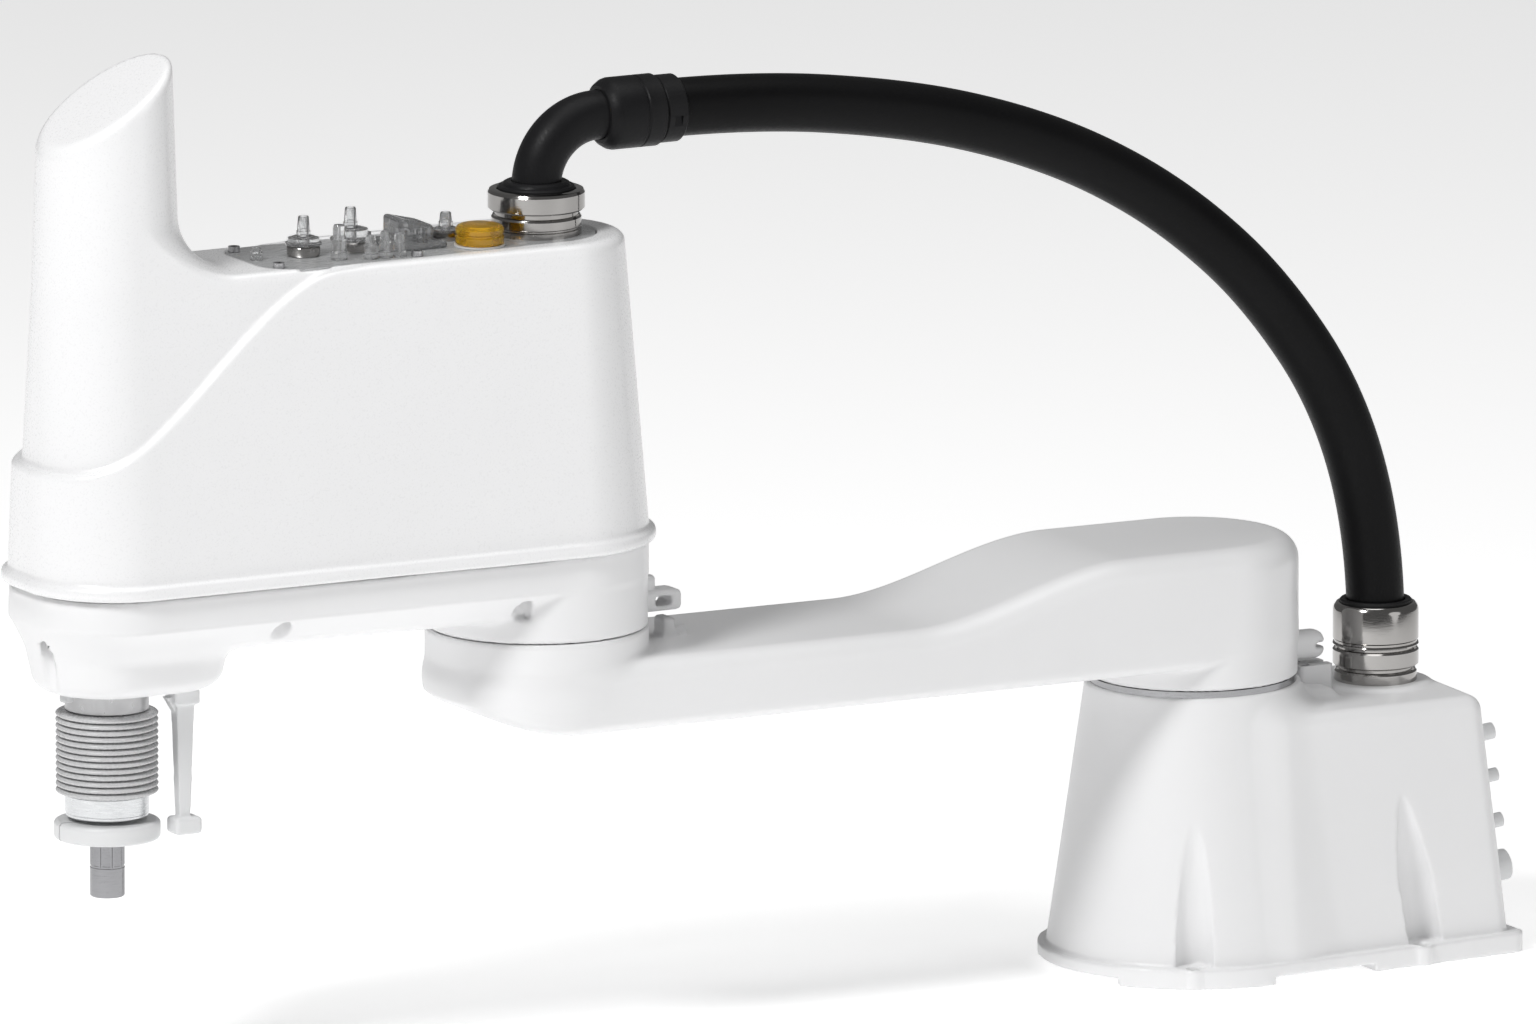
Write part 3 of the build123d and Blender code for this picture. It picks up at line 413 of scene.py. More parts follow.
def skin(name, shape, low, high, step, finish):
    """Meshes a distance function over a box by surface nets, then pulls each point onto the surface."""
    axes = [np.arange(a, b + step, step) for a, b in zip(low, high)]
    grid = np.meshgrid(*axes, indexing="ij")
    value = shape(*grid)
    inside = value < 0
    sizes = value.shape
    corner = [(i, j, k) for i in (0, 1) for j in (0, 1) for k in (0, 1)]

    def part(array, c):
        return array[tuple(slice(o, s - 1 + o) for o, s in zip(c, sizes))]

    filled = sum(part(inside, c).astype(np.int8) for c in corner)
    active = (filled > 0) & (filled < 8)
    cells = np.argwhere(active)
    index = -np.ones(active.shape, dtype=np.int64)
    index[active] = np.arange(len(cells))
    points = np.zeros((len(cells), 3))
    weight = np.zeros(len(cells))
    for a in corner:
        for b in corner:
            if sum(b) - sum(a) == 1 and all(q >= p for p, q in zip(a, b)):
                va, vb = part(value, a)[active], part(value, b)[active]
                cross = (va < 0) != (vb < 0)
                t = np.where(cross, va / np.where(cross, va - vb, 1), 0)
                where = np.array(a) + t[:, None] * (np.array(b) - np.array(a))
                points += where * cross[:, None]
                weight += cross
    points = (cells + points / weight[:, None]) * step + np.array([a[0] for a in axes])
    faces = []
    for axis in range(3):
        one, two = [k for k in range(3) if k != axis]
        ahead = [0, 0, 0]
        ahead[axis] = 1
        near = inside[tuple(slice(0, s - o) for o, s in zip(ahead, sizes))]
        far = inside[tuple(slice(o, s) for o, s in zip(ahead, sizes))]
        spots = np.argwhere(near != far)
        spots = spots[(spots[:, one] > 0) & (spots[:, two] > 0)]
        spots = spots[(spots[:, one] < sizes[one] - 1) & (spots[:, two] < sizes[two] - 1)]
        ring = []
        for u, v in ((0, 0), (1, 0), (1, 1), (0, 1)):
            cell = spots.copy()
            cell[:, one] -= u
            cell[:, two] -= v
            ring.append(index[tuple(cell.T)])
        quads = np.stack(ring, 1)
        flip = near[tuple(spots.T)] == (axis == 1)
        quads[flip] = quads[flip][:, ::-1]
        faces.append(quads)
    points = pull(points, shape, step)
    return add_mesh(name, points * MM, np.concatenate(faces).tolist(), finish)


def pull(points, shape, step):
    """Moves points along the distance's slope until they lie on the surface."""
    small, rounds, least = 0.05, 4, 0.2
    for _ in range(rounds):
        x, y, z = points.T
        here = shape(x, y, z)
        slope = np.stack([
            shape(x + small, y, z) - shape(x - small, y, z),
            shape(x, y + small, z) - shape(x, y - small, z),
            shape(x, y, z + small) - shape(x, y, z - small),
        ], 1) / (2 * small)
        size = np.maximum((slope ** 2).sum(1), least)
        move = slope * (here / size)[:, None]
        points = points - np.clip(move, -step * 0.5, step * 0.5)
    return points


# ---- hood ----
RISE_FROM, RISE_TO = 290.0, 462.0     # the hood's sides draw in between these heights
LIP_Z, LIP_R = 290.5, 3.0             # rounded lip round the hood's lower edge
ELBOW_R, ELBOW_DRAFT = 64.5, 14.3     # round end: radius at the bottom, and how much it draws in
HALF, HALF_DRAFT = 62.0, 14.5         # the same for the straight sides
FRONT_R = 51.5
STEP_IN = 5.5                         # the upper part stands back from the ledge by this
LEDGE_FRONT, LEDGE_BACK = 745.0, 567.0
LEDGE_LOW, LEDGE_TOP = 357.0, 464.5
TOWER_Z, TOWER_R = 353.0, 45.5        # foot of the tower, and its radius there
TOWER_TAPER, TOWER_RUN = 7.5, 237.0   # the radius shrinks by this much over this height
CROWN_Z = 565.0                       # height of the slanting crown over the quill
CROWN_SLOPE, CROWN_SCALE = 0.658, 0.8354     # fall per millimetre, and what makes it a distance
FILLET = 2.2                          # along both edges of the ledge
TOWER_FILLET = 33.0
HOOD_WALL = 4.5


def tower_radius(z):
    return TOWER_R - TOWER_TAPER * (z - TOWER_Z) / TOWER_RUN


def hood_plan(x, y, z, upper):
    """Plan distance at each height: elbow circle joined to straight sides and a round front.
    upper gives the part above the ledge, which goes on into the tower."""
    rise = (z - RISE_FROM) / (RISE_TO - RISE_FROM)
    elbow = ELBOW_R - ELBOW_DRAFT * rise - (STEP_IN if upper else 0.0)
    if upper:
        front = np.where(z < TOWER_Z, TOWER_R, tower_radius(z))
        half = np.where(z < RISE_TO, HALF - STEP_IN - HALF_DRAFT * rise, tower_radius(z))
        elbow = np.maximum(elbow, half)
    else:
        front = np.full_like(z, FRONT_R)
        half = HALF - HALF_DRAFT * rise
    half = half + (elbow - half) * (1 - lift(x, ELBOW_X, 610.0))
    straight = stadium(x, y, ELBOW_X - 60, QUILL_X, np.maximum(half - front, 0), np.minimum(front, half))
    return np.where(x < ELBOW_X, post(x, y, ELBOW_X, 0, elbow), straight)


def ledge_height(x):
    """Height of the ledge that sweeps up the hood's side from the front to the deck."""
    t = (LEDGE_FRONT - x) / (LEDGE_FRONT - LEDGE_BACK)
    past = np.maximum(t - 1, 0)
    return LEDGE_LOW + (LEDGE_TOP - LEDGE_LOW) * ease(np.clip(t, 0, 1)) + past * 40


def ledge_slope(x):
    """Length of the ledge's line per millimetre of x, which turns heights into distances."""
    t = np.clip((LEDGE_FRONT - x) / (LEDGE_FRONT - LEDGE_BACK), 0, 1)
    return np.sqrt(1 + ((LEDGE_TOP - LEDGE_LOW) * 6 * t * (1 - t) / (LEDGE_FRONT - LEDGE_BACK)) ** 2)


def hood_outer(x, y, z):
    """Outside of the hood: sides, ledge, deck, tower, slanting crown and lip."""
    ledge = (z - ledge_height(x)) / ledge_slope(x)
    lower = common(hood_plan(x, y, z, False), ledge, FILLET)
    side = union(lower, hood_plan(x, y, z, True), FILLET)
    rim = z - LEDGE_TOP
    tower = post(x, y, QUILL_X, 0, 0) - tower_radius(z)
    crown = (z - CROWN_Z + CROWN_SLOPE * (x - QUILL_X)) * CROWN_SCALE
    above = union(rim, tower, TOWER_FILLET)
    # rounding of the deck's edge, which fades out towards the tower
    edge = 0.3 + 4.7 * (1 - ease(lift(z, 466.0, 500.0))) * (1 - ease(lift(x, 640.0, 690.0)))
    body = common(common(side, above, edge), crown, 5.0)
    lip_side = hood_plan(x, y, np.full_like(z, RISE_FROM), False) - 0.6
    lip = np.hypot(np.maximum(lip_side, 0), np.maximum(np.abs(z - LIP_Z) - 1.0, 0)) - LIP_R
    inside = np.minimum(np.maximum(lip_side, np.abs(z - LIP_Z) - 1.0), 0)
    return union(body, lip + inside, 1.5)


DECK_REAR_R, DECK_WIDENS, DECK_WIDE_X = 34.0, 4.0, 520.0
DECK_CORNER_X, DECK_CORNER_Y, DECK_CORNER_R = 592.0, 18.0, 20.0
PLATE_GAP, RECESS_GAP = 0.3, 0.4      # the plate is smaller than the plan, the recess larger
RECESS_Z, SHEET_TOP = 461.8, 463.8


def deck_plan(x, y, grow):
    """Plan of the recess for the deck plate: round at the elbow, large corners before the tower."""
    radius = DECK_REAR_R + DECK_WIDENS * lift(x, ELBOW_X, DECK_WIDE_X)
    rear = np.hypot(x - ELBOW_X, y) - radius
    front = np.hypot(x - DECK_CORNER_X, np.maximum(np.abs(y) - DECK_CORNER_Y, 0)) - DECK_CORNER_R
    flank = np.abs(y) - radius
    return np.where(x < ELBOW_X, rear, np.where(x > DECK_CORNER_X, front, flank)) - grow


def hood_shape(x, y, z):
    """Hollow hood with the recess for the deck plate."""
    outer = hood_outer(x, y, z)
    pocket = np.maximum(deck_plan(x, y, RECESS_GAP), RECESS_Z - z)
    hollow = np.maximum(outer + HOOD_WALL, 280.0 - z)
    return np.maximum(np.maximum(np.maximum(outer, -pocket), -hollow), HOOD_LOW - z)


# ---- inner arm ----
INNER_LOW, INNER_TOP, INNER_DROP = 182.0, 250.0, 28.0     # the top drops towards the elbow
CELLS, CELL_PITCH = 4, 66.0                               # ribbed pockets along the underside


def inner_arm_shape(x, y, z):
    """Arm that drops from the shoulder to the elbow, with bosses, index tab, index lug and ribs below."""
    along = np.clip(x / ELBOW_X, 0, 1)
    plan = np.hypot(x - along * ELBOW_X, y) - (61.0 + 4.0 * along)
    slope = ease(np.clip((x - 70.0) / 138.0, 0, 1))
    top = (z - (INNER_TOP - INNER_DROP * slope)) * 0.97
    arm = common(plan, top, 14.0)
    tip = (INNER_LOW - z + 0.42 * (x - 450.0)) * 0.92
    under = common(INNER_LOW - z, tip, 8.0)
    arm = common(arm, under, 9.0)
    boss_1 = np.maximum(post(x, y, 0, 0, 60.5), np.maximum(169.0 - z, z - 200.0))
    arm = union(arm, boss_1, 1.5)
    boss_2 = common(post(x, y, ELBOW_X, 0, 64.0), np.maximum(z - 236.4, 200.0 - z), 0.8)
    arm = union(arm, boss_2, 4.0)
    tab = brick(x, y, z, (-70.0, 0.0, 178.0), (14.5, 8.0, 8.3), 6.5)
    tab = common(tab, -brick(x, y, z, (-84.0, 0.0, 178.0), (7.0, 12.0, 1.6), 1.2), 0.8)
    lug = brick(x, y, z, (341.5, 0.0, 226.0), (5.0, 7.0, 7.5), 2.0)
    lug = np.minimum(lug, brick(x, y, z, (334.0, 0.0, 224.0), (4.0, 3.0, 4.0), 1.0))
    lug = np.maximum(lug, -brick(x, y, z, (336.0, 0.0, 233.0), (3.5, 12.0, 6.0), 0.5))
    arm = union(union(arm, tab, 3.0), lug, 2.0)
    for i in range(CELLS):
        for side in (-25.5, 25.5):
            cell = brick(x, y, z, (121.0 + CELL_PITCH * i, side, 197.0), (29.0, 21.5, 16.0), 6.0)
            arm = common(arm, -cell, 1.5)
    return arm


# ---- outer arm casting ----
POCKETS = [(462.0, 53.4), (462.0, -53.4), (616.0, 53.4), (616.0, -53.4)]     # hood screws, x, y
OUTER_TOP = 286.0
DRUM_R = 63.4


def outer_arm_shape(x, y, z):
    """Shallow tray under the hood, with a drum at the elbow and a bucket round the quill."""
    plan = hood_plan(x, y, np.full_like(z, RISE_FROM), False)
    flank = np.maximum(plan + 1.0, (plan + 1.0 + (267.0 - z) * 0.95) * 0.725)
    belly = common(flank, 248.0 - z, 7.0)
    belly = common(belly, z - OUTER_TOP, 0.5)
    drum = common(post(x, y, ELBOW_X, 0, DRUM_R), np.maximum(237.2 - z, z - OUTER_TOP), 0.6)
    radius = 41.0 + 9.5 * lift(z, 225.0, 268.0)
    bucket = stadium(x, y, QUILL_X - 26, QUILL_X, 0.0, radius)
    bucket = common(bucket, np.maximum(225.0 - z, z - 280.0), 9.0)
    arm = union(union(belly, drum, 2.0), bucket, 9.0)
    rear = ELBOW_X - DRUM_R
    tab = brick(x, y, z, (rear - 11.0, 0.0, 244.0), (15.0, 9.0, 6.0), 3.0)
    slot = np.hypot(np.maximum(np.abs(x - rear + 14.0) - 2.5, 0), z - 244.0) - 3.0
    nub = common(post(x, y, rear - 6.0, 0, 6.0), np.abs(z - 253.0) - 5.5, 2.5)
    arm = union(arm, np.maximum(np.minimum(tab, nub), -slot), 2.0)
    for px, py in POCKETS:
        arm = common(arm, -np.maximum(post(x, y, px, py, 5.3), np.abs(z - 262.5) - 10.5), 0.4)
    front = np.maximum(post(x, y, 742.5, 12.0, 4.8), z - 272.0)
    arm = np.maximum(arm, -front)
    opening = np.maximum(plan + 7.0, 276.0 - z)
    return np.maximum(arm, -opening)


# ---- base ----
HOLES = [(38.0, 74.0), (38.0, -74.0), (-110.0, 74.0), (-110.0, -74.0)]     # through the foot, x, y
FOOT_R, FOOT_LENGTH, FOOT_TOP = 89.0, 181.0, 12.0
TOWER_TOP, BOX_TOP = 165.0, 151.0     # round part under the first axis, and the box behind it


def foot_plan(x, y):
    """Round front about the first axis, narrowing to square rear corners."""
    along = np.clip(-x / FOOT_LENGTH, 0, 1)
    half = FOOT_R - 17.0 * along
    round_front = np.hypot(np.maximum(x, 0), y) - FOOT_R
    flank = (np.abs(y) - half) * 0.995
    return np.where(x > 0, round_front, common(flank, -x - FOOT_LENGTH, 8.0))


def flute_cut(x, y, z, hx, hy):
    """Access flute over a foot hole; the rear ones lean forward and close to a point."""
    if hx > 0:
        return np.maximum(post(x, y, hx, hy, 10.8), FOOT_TOP - z)
    lean = hx - 4.0 + 0.15 * (z - FOOT_TOP)
    radius = 11.2 * np.clip((112.0 - z) / 60.0, 0.0, 1.0) ** 0.7
    return np.maximum(post(x, y, lean, hy * 0.965, 0) - radius, FOOT_TOP - z)


def base_shape(x, y, z):
    """Hollow housing: round tower, tapered box behind it, flat foot with flutes, pads and holes."""
    rise = (z - FOOT_TOP) / (BOX_TOP - FOOT_TOP)
    tower = (np.hypot(x, y) - (84.0 - 22.0 * (z - FOOT_TOP) / (TOWER_TOP - FOOT_TOP))) * 0.99
    tower = common(tower, z - TOWER_TOP, 1.5)
    half = 81.5 - 15.5 * rise + (x + 15.0) / 158.0 * (14.0 - 10.0 * rise)
    flank = (np.abs(y) - half) * 0.99
    rear = (-x - 174.0 + 16.0 * rise) * 0.993
    box = common(common(flank, rear, 10.0), x + 12.0, 16.0)
    box = common(box, z - BOX_TOP + 0.02 * (np.abs(y) - 40.0), 8.0)
    body = union(tower, box, 14.0)
    seat = common(post(x, y, GLAND_X, 0, 31.0), z - 153.0, 1.5)
    body = union(body, np.maximum(seat, 140.0 - z), 4.0)
    ledge = brick(x, y, z, (-66.0, 0.0, 150.0), (14.0, 26.0, 6.0), 3.0)
    body = union(body, ledge, 6.0)
    foot = common(foot_plan(x, y), np.abs(z - 8.2) - 3.8, 1.2)
    body = union(np.maximum(body, 6.0 - z), foot, 1.0)
    for hx, hy in HOLES:
        lug = common(post(x, y, hx, hy, 7.4), np.abs(z - 6.0) - 6.0, 1.0)
        body = union(body, lug, 1.0)
    for low, high in ((-8.0, 84.0), (-186.0, -76.0)):
        pad = np.maximum(np.maximum(x - high, low - x), 48.0 - np.abs(y))
        pad = common(common(pad, foot_plan(x, y), 1.5), np.abs(z - 4.0) - 4.0, 0.5)
        body = np.minimum(body, pad)
    for hx, hy in HOLES:
        body = common(body, -flute_cut(x, y, z, hx, hy), 0.5)
        body = np.maximum(body, -post(x, y, hx, hy, 4.5))
    recess = np.maximum(np.maximum(-rear - 2.6, np.abs(y) - 52.0), np.abs(z - 81.5) - 56.0)
    body = np.maximum(body, -recess)
    inner_box = np.maximum(np.abs(y) - 50.0, np.maximum(-x - 142.0, x))
    hollow = np.maximum(np.minimum(np.hypot(x, y) - 58.0, inner_box), z - 138.0)
    body = np.maximum(body, -hollow)
    return np.maximum(body, -np.maximum(post(x, y, GLAND_X, 0, 19.2), 130.0 - z))


LARGE_STEP, BASE_STEP, SMALL_STEP = 2.0, 1.6, 0.8         # grid of the distance shapes


def castings():
    """The four large shells, meshed from their distance shapes."""
    hood = skin("hood_shell", hood_shape, (352, -76, 280), (762, 76, 596), LARGE_STEP, "cover")
    place(hood, "outer_arm", "white_cover", "hood")
    low, high = (-92, -72, 164), (498, 72, 256)
    inner = skin("inner_arm_body", inner_arm_shape, low, high, LARGE_STEP, "casting")
    place(inner, "inner_arm", "white_casting", "inner_arm_casting")
    low, high = (330, -70, 220), (756, 70, 290)
    outer = skin("outer_arm_body", outer_arm_shape, low, high, LARGE_STEP, "casting")
    place(outer, "outer_arm", "white_casting", "outer_arm_casting")
    base = skin("base_body", base_shape, (-188, -96, -4), (96, 96, 170), BASE_STEP, "casting")
    place(base, "base", "white_casting", "base_housing")


castings()


# ---- hose ----
HOSE_SIDES = 64


def hose():
    """Smooth hose on the route's own spline, as a tube of rings."""
    curve = bpy.data.curves.new("hose_line", "CURVE")
    curve.dimensions = "3D"
    curve.resolution_u = 24
    spline = curve.splines.new("NURBS")
    spline.points.add(len(ROUTE) - 1)
    for point, (x, z) in zip(spline.points, ROUTE):
        point.co = (x * MM, 0.0, z * MM, 1.0)
    spline.order_u = 3
    spline.use_endpoint_u = True
    line = bpy.data.objects.new("hose_line", curve)
    bpy.context.scene.collection.objects.link(line)
    mesh = bpy.data.meshes.new_from_object(line)
    path = [v.co.copy() for v in mesh.vertices]
    bpy.data.objects.remove(line)
    sides = HOSE_SIDES
    points, faces = [], []
    for i, here in enumerate(path):
        ahead = (path[min(i + 1, len(path) - 1)] - path[max(i - 1, 0)]).normalized()
        across = Vector((0, 1, 0))
        up = ahead.cross(across).normalized()
        for j in range(sides):
            angle = 2 * math.pi * j / sides
            points.append(here + (across * math.cos(angle) + up * math.sin(angle)) * HOSE_R * MM)
        if i:
            for j in range(sides):
                a, b = (i - 1) * sides + j, (i - 1) * sides + (j + 1) % sides
                faces.append((a, b, b + sides, a + sides))
    faces.append(tuple(range(sides))[::-1])
    faces.append(tuple(range((len(path) - 1) * sides, len(path) * sides)))
    piece = add_mesh("hose_tube", points, faces, "hose")
    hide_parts("hose")
    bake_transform(piece)


hose()


# ---- bellows ----
BELLOWS_LOW, BELLOWS_HIGH = 165.0, 213.0
BELLOWS_WALL = 1.2


def bellows():
    """Thirteen round-crested folds between the clamp and the sliding collar."""
    folds, steps = 13, 12
    root, crest, roundness = 24.3, 29.3, 0.42
    run = BELLOWS_HIGH - BELLOWS_LOW
    outer = []
    for i in range(folds * steps + 1):
        bulge = abs(math.sin(math.pi * i / steps)) ** roundness
        outer.append((root + (crest - root) * bulge, BELLOWS_LOW + run * i / (folds * steps)))
    inner = [(r - BELLOWS_WALL, z) for r, z in outer]
    piece = lathe("bellows_sleeve", [(QUILL_X, 0, outer + inner[::-1])], "bellows")
    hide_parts("bellows")
    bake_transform(piece)


bellows()


# ---- turned and moulded details ----
def glands():
    """Nickel cable glands with chamfered bands and grooves."""
    low = [
        (13, 144), (19, 144), (19, 151), (22.9, 151), (23.8, 151.9), (23.8, 158.8), (22.9, 160),
        (21.4, 160.3), (21.4, 162), (23.9, 162.3), (24.9, 163.3), (24.9, 171.4), (24.1, 172.4),
        (22.4, 172.8), (22.4, 174), (24.6, 174.3), (25, 175), (24.6, 175.7), (24, 176), (24, 177.2),
        (24.8, 178), (24.8, 194.8), (24.1, 197.2), (22.8, 198.7), (21.4, 199), (20.95, 198.5),
        (20.95, 182), (13, 182),
    ]
    top = [
        (15.6, 455), (19, 455), (19, 462), (24.9, 462), (25.8, 462.9), (25.8, 467), (25, 467.6),
        (25, 468.4), (25.8, 469), (25.8, 473.6), (25, 474.8), (23.9, 475.2), (23.9, 477.6), (26.8, 478),
        (27.8, 479), (27.8, 487.8), (26.9, 489.4), (25.2, 490), (23.2, 490), (22.6, 489.4), (22.6, 484),
        (15.6, 484),
    ]
    lower = lathe("base_gland_turned", [(GLAND_X, 0, low)], "nickel", turns=128)
    place(lower, "base", "nickel", "base_gland")
    upper = lathe("hood_gland_turned", [(ELBOW_X, 0, top)], "nickel", turns=128)
    place(upper, "outer_arm", "nickel", "hood_gland")


def hose_fittings():
    """Black collar under the elbow, and the coupling at the hose's end."""
    collar = [
        (14.45, 484), (21.4, 484), (22.2, 484.8), (22.2, 490.6), (21.4, 491.6), (19.6, 491.9),
        (18.9, 493.2), (17.4, 494), (14.45, 494),
    ]
    coupling = [
        (11.5, 350), (19.6, 350), (20.8, 351.2), (20.8, 361), (20.3, 361.6), (20.3, 362.4), (20.8, 363),
        (20.8, 378), (20.2, 380.4), (18.2, 383.6), (16.4, 384.9), (14.5, 385), (14.5, 372), (11.5, 372),
    ]
    ring = lathe("elbow_collar_turned", [(ELBOW_X, 0, collar)], "black")
    place(ring, "hose_swivel", "black_plastic", "elbow_collar")
    barrel = lathe("hose_coupling_turned", [(0, 0, coupling)], "black", lying=True)
    place(barrel, "hose_swivel", "black_plastic", "hose_coupling")


SPLINE_COUNT, SPLINE_DEPTH = 9, 0.45
SPLINE_LOW = 123.5        # the shaft is plain below this height


def quill():
    """Splined shaft over a ground seat, with its clamp collars."""
    def grooves(r, z, angle):
        cut = SPLINE_DEPTH * max(0.0, math.cos(angle * SPLINE_COUNT)) ** 6
        return r - cut if r > 9.5 and z > SPLINE_LOW else r

    shaft = [
        (7, 105.8), (7.6, 105), (9.3, 105), (10, 105.8), (10, 121.8), (9.7, 122), (9.7, 123.2), (10, 123.6),
        (10, 551.4), (9.4, 552), (7.6, 552), (7, 551.4),
    ]
    upper = [(18, 213), (22.9, 213), (24, 214), (24, 225), (18, 225)]
    lower = [
        (10.05, 152), (23, 152), (23.6, 152.6), (23.6, 153.8), (24, 154.2), (24, 164.1), (23.2, 165),
        (10.05, 165),
    ]
    rod = lathe("spline_shaft_turned", [(QUILL_X, 0, shaft)], "steel", turns=216, carve=grooves)
    place(rod, "quill", "steel", "spline_shaft")
    clamp = lathe("bellows_clamp_turned", [(QUILL_X, 0, upper)], "zinc_ring")
    place(clamp, "outer_arm", "machined_aluminium", "bellows_clamp")
    collar = lathe("lower_collar_turned", [(QUILL_X, 0, lower)], "turned")
    place(collar, "z_carriage", "machined_aluminium", "lower_collar")


def reference_arm_shape(x, y, z):
    """Thin arm beside the bellows, with a foot and a mount braced by a gusset."""
    rise = (z - 150.0) / 68.0
    arm = np.maximum(np.abs(x - 662.0) - 3.4 - 2.2 * rise, np.abs(y - 20.0) - 3.0 - 1.0 * rise) * 0.99
    arm = common(arm, np.abs(z - 183.0) - 36.0, 0.8)
    mount = brick(x, y, z, (662.0, 20.0, 220.6), (8.0, 7.0, 4.4), 1.6)
    brace = (x - 672.5 + (219.0 - z) * 0.6) * 0.85
    gusset = np.maximum(np.maximum(661.0 - x, np.abs(y - 20.0) - 2.6), brace)
    gusset = np.maximum(gusset, z - 221.0)
    foot = brick(x, y, z, (661.0, 20.0, 146.0), (8.5, 7.0, 5.0), 2.6)
    return union(union(union(arm, mount, 1.5), gusset, 0.8), foot, 1.2)


def connector_shape(x, y, z):
    """Signal socket: flange, ribbed shell with a sloping top."""
    x = x - SOCKET_X
    flange = brick(x, y, z, (0.0, 0.0, 465.6), (16.0, 18.0, 1.6), 1.2)
    slope = (z - 479.0 - 0.24 * x) * 0.97
    shell = common(brick(x, y, z, (0.0, 0.0, 472.0), (11.0, 12.0, 12.0), 3.0), slope, 2.5)
    mouth = brick(x, y, z, (-2.0, 0.0, 482.0), (6.5, 8.0, 8.0), 1.5)
    shell = common(shell, -mouth, 0.6)
    ribs = np.minimum(np.abs(np.abs(x) - 4.0), np.abs(x)) - 0.8
    ribs = np.maximum(np.maximum(ribs, np.abs(y) - 13.0), np.abs(z - 470.0) - 4.5)
    shell = union(shell, ribs, 0.6)
    posts = np.minimum(post(x, y, 0.0, 15.2, 2.1), post(x, y, 0.0, -15.2, 2.1))
    posts = common(posts, np.abs(z - 468.0) - 3.0, 0.6)
    under = brick(x, y, z, (0.0, 0.0, 459.0), (13.0, 15.0, 6.0), 1.0)
    return np.minimum(np.minimum(union(flange, shell, 1.0), posts), under)


def plug_profile(radius, height):
    """Ribbed blanking plug with a thinner head, from the deck plate up."""
    top, neck = DECK_TOP + height, DECK_TOP + 0.6 * height
    rib = 0.22 * height
    return [
        (0.4, DECK), (2, DECK), (2, DECK_TOP), (radius, DECK_TOP), (radius, DECK_TOP + rib),
        (radius - 0.6, DECK_TOP + 0.4 + rib), (radius - 0.6, neck - 1), (radius, neck - 0.6),
        (radius, neck), (0.75 * radius, neck + 0.5), (0.68 * radius, top - 0.6), (0.6 * radius, top),
        (0.4, top),
    ]


def deck_fittings():
    """Air fittings of a nickel seat, a stepped clear body and a clear stub; plugs close the spare ports.
    Beside them stand the status lamp, the signal socket and, below, the reference arm."""
    bodies = [(x, y, plug_profile(radius, height)) for x, y, radius, height in PLUGS]
    collars, seats = [], []
    for x, y, height, size in FITTINGS:
        top = DECK_TOP + height
        neck = top - min(11.5, 0.55 * height)
        seat = min(470.0, neck - 2.5)
        steps = [
            (2.4, 455), (6.2, 455), (6.2, 464.2), (8.0 * size, seat), (10.4 * size, seat + 0.3),
            (10.4 * size, seat + 1.4), (9.0 * size, seat + 1.7), (9.0 * size, neck - 0.9),
            (6.8 * size, neck - 0.4), (6.4 * size, neck), (2.4, neck),
        ]
        bodies.append((x, y, steps))
        collars.append((x, y, [
            (2.2, neck), (4.1, neck), (4.1, neck + 3), (3.7, neck + 3.4), (3.1, top - 0.6), (2.8, top),
            (2.2, top),
        ]))
        seats.append((x, y, [
            (6.4, 464.1), (9.2 * size, 464.1), (9.6 * size, 465), (9.6 * size, seat - 1),
            (9.0 * size, seat), (8.1 * size, seat), (6.4, 464.6),
        ]))
    clear_parts = lathe("air_fitting_bodies", bodies, "clear", turns=48)
    place(clear_parts, "outer_arm", "clear_plastic", "air_fittings")
    stubs = lathe("air_fitting_stubs", collars, "clear", turns=40)
    place(stubs, "outer_arm", "clear_plastic", "air_fitting_collars")
    rings = lathe("air_fitting_seats", seats, "nickel", turns=64)
    place(rings, "outer_arm", "nickel")
    lamp = [
        (11.6, 465.1), (13.2, 465.1), (14, 465.9), (14, 469.6), (13.2, 470.2), (13.2, 471), (14, 471.6),
        (14, 474), (12.8, 475.6), (10.4, 476.6), (6.0, 477), (0.4, 477), (0.4, 475), (9.6, 474.8),
        (11.4, 473.6),
    ]
    lens = lathe("status_lamp_lens", [(LAMP_X, LAMP_Y, lamp)], "amber", turns=64)
    place(lens, "outer_arm", "amber_lens", "status_lamp")
    bulb = [(0.4, 465.1), (7.5, 465.1), (7.5, 468), (5.6, 471.6), (3.0, 473), (0.4, 473)]
    light = lathe("status_lamp_light", [(LAMP_X, LAMP_Y, bulb)], "pale", turns=48)
    place(light, "outer_arm", "grey_plastic")
    low, high = (SOCKET_X - 19, -21, 450), (SOCKET_X + 19, 21, 486)
    socket = skin("signal_socket", connector_shape, low, high, SMALL_STEP, "smoke")
    place(socket, "outer_arm", "grey_plastic", "signal_connector")
    low, high = (648, 10, 138), (678, 30, 228)
    arm = skin("reference_arm_body", reference_arm_shape, low, high, SMALL_STEP, "pale")
    place(arm, "outer_arm", "grey_plastic", "reference_arm")


def arc(x, y, radius, start, end):
    """Points of an arc in plan, one every five degrees."""
    count = abs(end - start) // 5
    turns = [math.radians(start + (end - start) * i / count) for i in range(count + 1)]
    return [(x + radius * math.cos(t), y + radius * math.sin(t)) for t in turns]


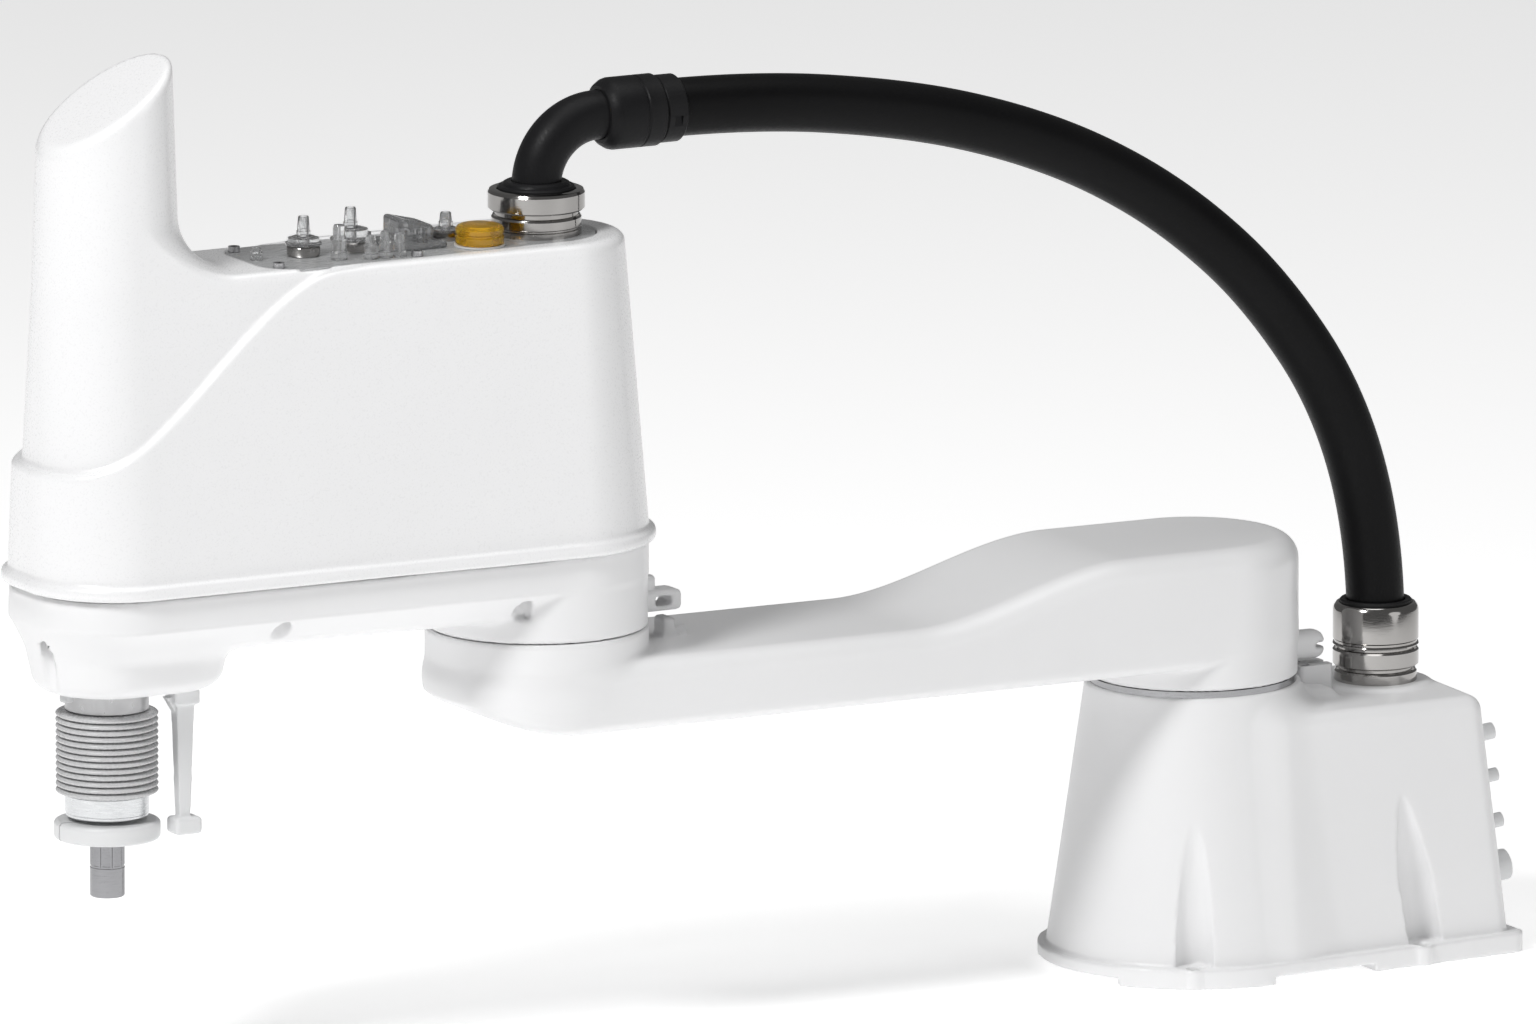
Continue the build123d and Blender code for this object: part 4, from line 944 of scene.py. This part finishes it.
def deck_sheet():
    """Brushed plate in the hood's recess, under the fittings."""
    rear, corner = DECK_REAR_R - PLATE_GAP, DECK_CORNER_R - PLATE_GAP
    half = rear + DECK_WIDENS
    outline = arc(ELBOW_X, 0, rear, 90, 270) + [(DECK_WIDE_X, -half)]
    outline += arc(DECK_CORNER_X, -DECK_CORNER_Y, corner, -90, 0)
    outline += arc(DECK_CORNER_X, DECK_CORNER_Y, corner, 0, 90) + [(DECK_WIDE_X, half)]
    count = len(outline)
    points = [(x * MM, y * MM, z * MM) for z in (DECK, SHEET_TOP) for x, y in outline]
    faces = [list(range(count))[::-1], list(range(count, 2 * count))]
    faces += [(i, (i + 1) % count, (i + 1) % count + count, i + count) for i in range(count)]
    sheet = add_mesh("deck_sheet", points, faces, "deck", smooth=False)
    place(sheet, "outer_arm", "deck_metal", "deck_plate")


glands()
hose_fittings()
quill()
deck_fittings()
deck_sheet()
for name in "hose_nut flange_disc base_air_ports base_connectors status_lamp_base base_stop_block".split():
    soften(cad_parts[name])


# ---- floor and light ----
FLOOR_HALF = 14.0
FLOOR_GLOW = 0.43
SKY_STRENGTH = 0.16
LIGHT_AIM = (0.3, 0, 0.3)


def add_stage():
    """Wide pale floor, lit a little from itself so that it runs on into the background."""
    mesh = bpy.data.meshes.new("floor")
    size = FLOOR_HALF
    corners = [(-size, -size, 0), (size, -size, 0), (size, size, 0), (-size, size, 0)]
    mesh.from_pydata(corners, [], [(0, 1, 2, 3)])
    material, shader = new_material("pale_floor", (0.93, 0.93, 0.93), 0.85)
    shader.inputs["Emission Color"].default_value = (1.0, 1.0, 1.0, 1.0)
    shader.inputs["Emission Strength"].default_value = FLOOR_GLOW
    mesh.materials.append(material)
    floor = bpy.data.objects.new("floor", mesh)
    bpy.context.scene.collection.objects.link(floor)


def add_light(name, spot, size, power):
    """Round soft light aimed at the arm."""
    lamp = bpy.data.lights.new(name, "AREA")
    lamp.shape = "DISK"
    lamp.size = size
    lamp.energy = power
    body = bpy.data.objects.new(name, lamp)
    body.location = spot
    aim = Vector(LIGHT_AIM) - Vector(spot)
    body.rotation_euler = aim.to_track_quat("-Z", "Y").to_euler()
    bpy.context.scene.collection.objects.link(body)


def add_world():
    """Even white light from all round."""
    world = bpy.data.worlds.new("studio")
    bpy.context.scene.world = world
    world.use_nodes = True
    shader = world.node_tree.nodes["Background"]
    shader.inputs["Color"].default_value = (1.0, 1.0, 1.0, 1.0)
    shader.inputs["Strength"].default_value = SKY_STRENGTH


add_stage()
add_world()
add_light("key", (2.5, 0.95, 2.7), size=0.8, power=66.0)
add_light("top", (0.2, 0.2, 4.2), size=3.4, power=66.0)
add_light("fill", (-1.6, 3.2, 1.2), size=2.2, power=13.0)
bpy.context.scene.view_settings.view_transform = "Standard"
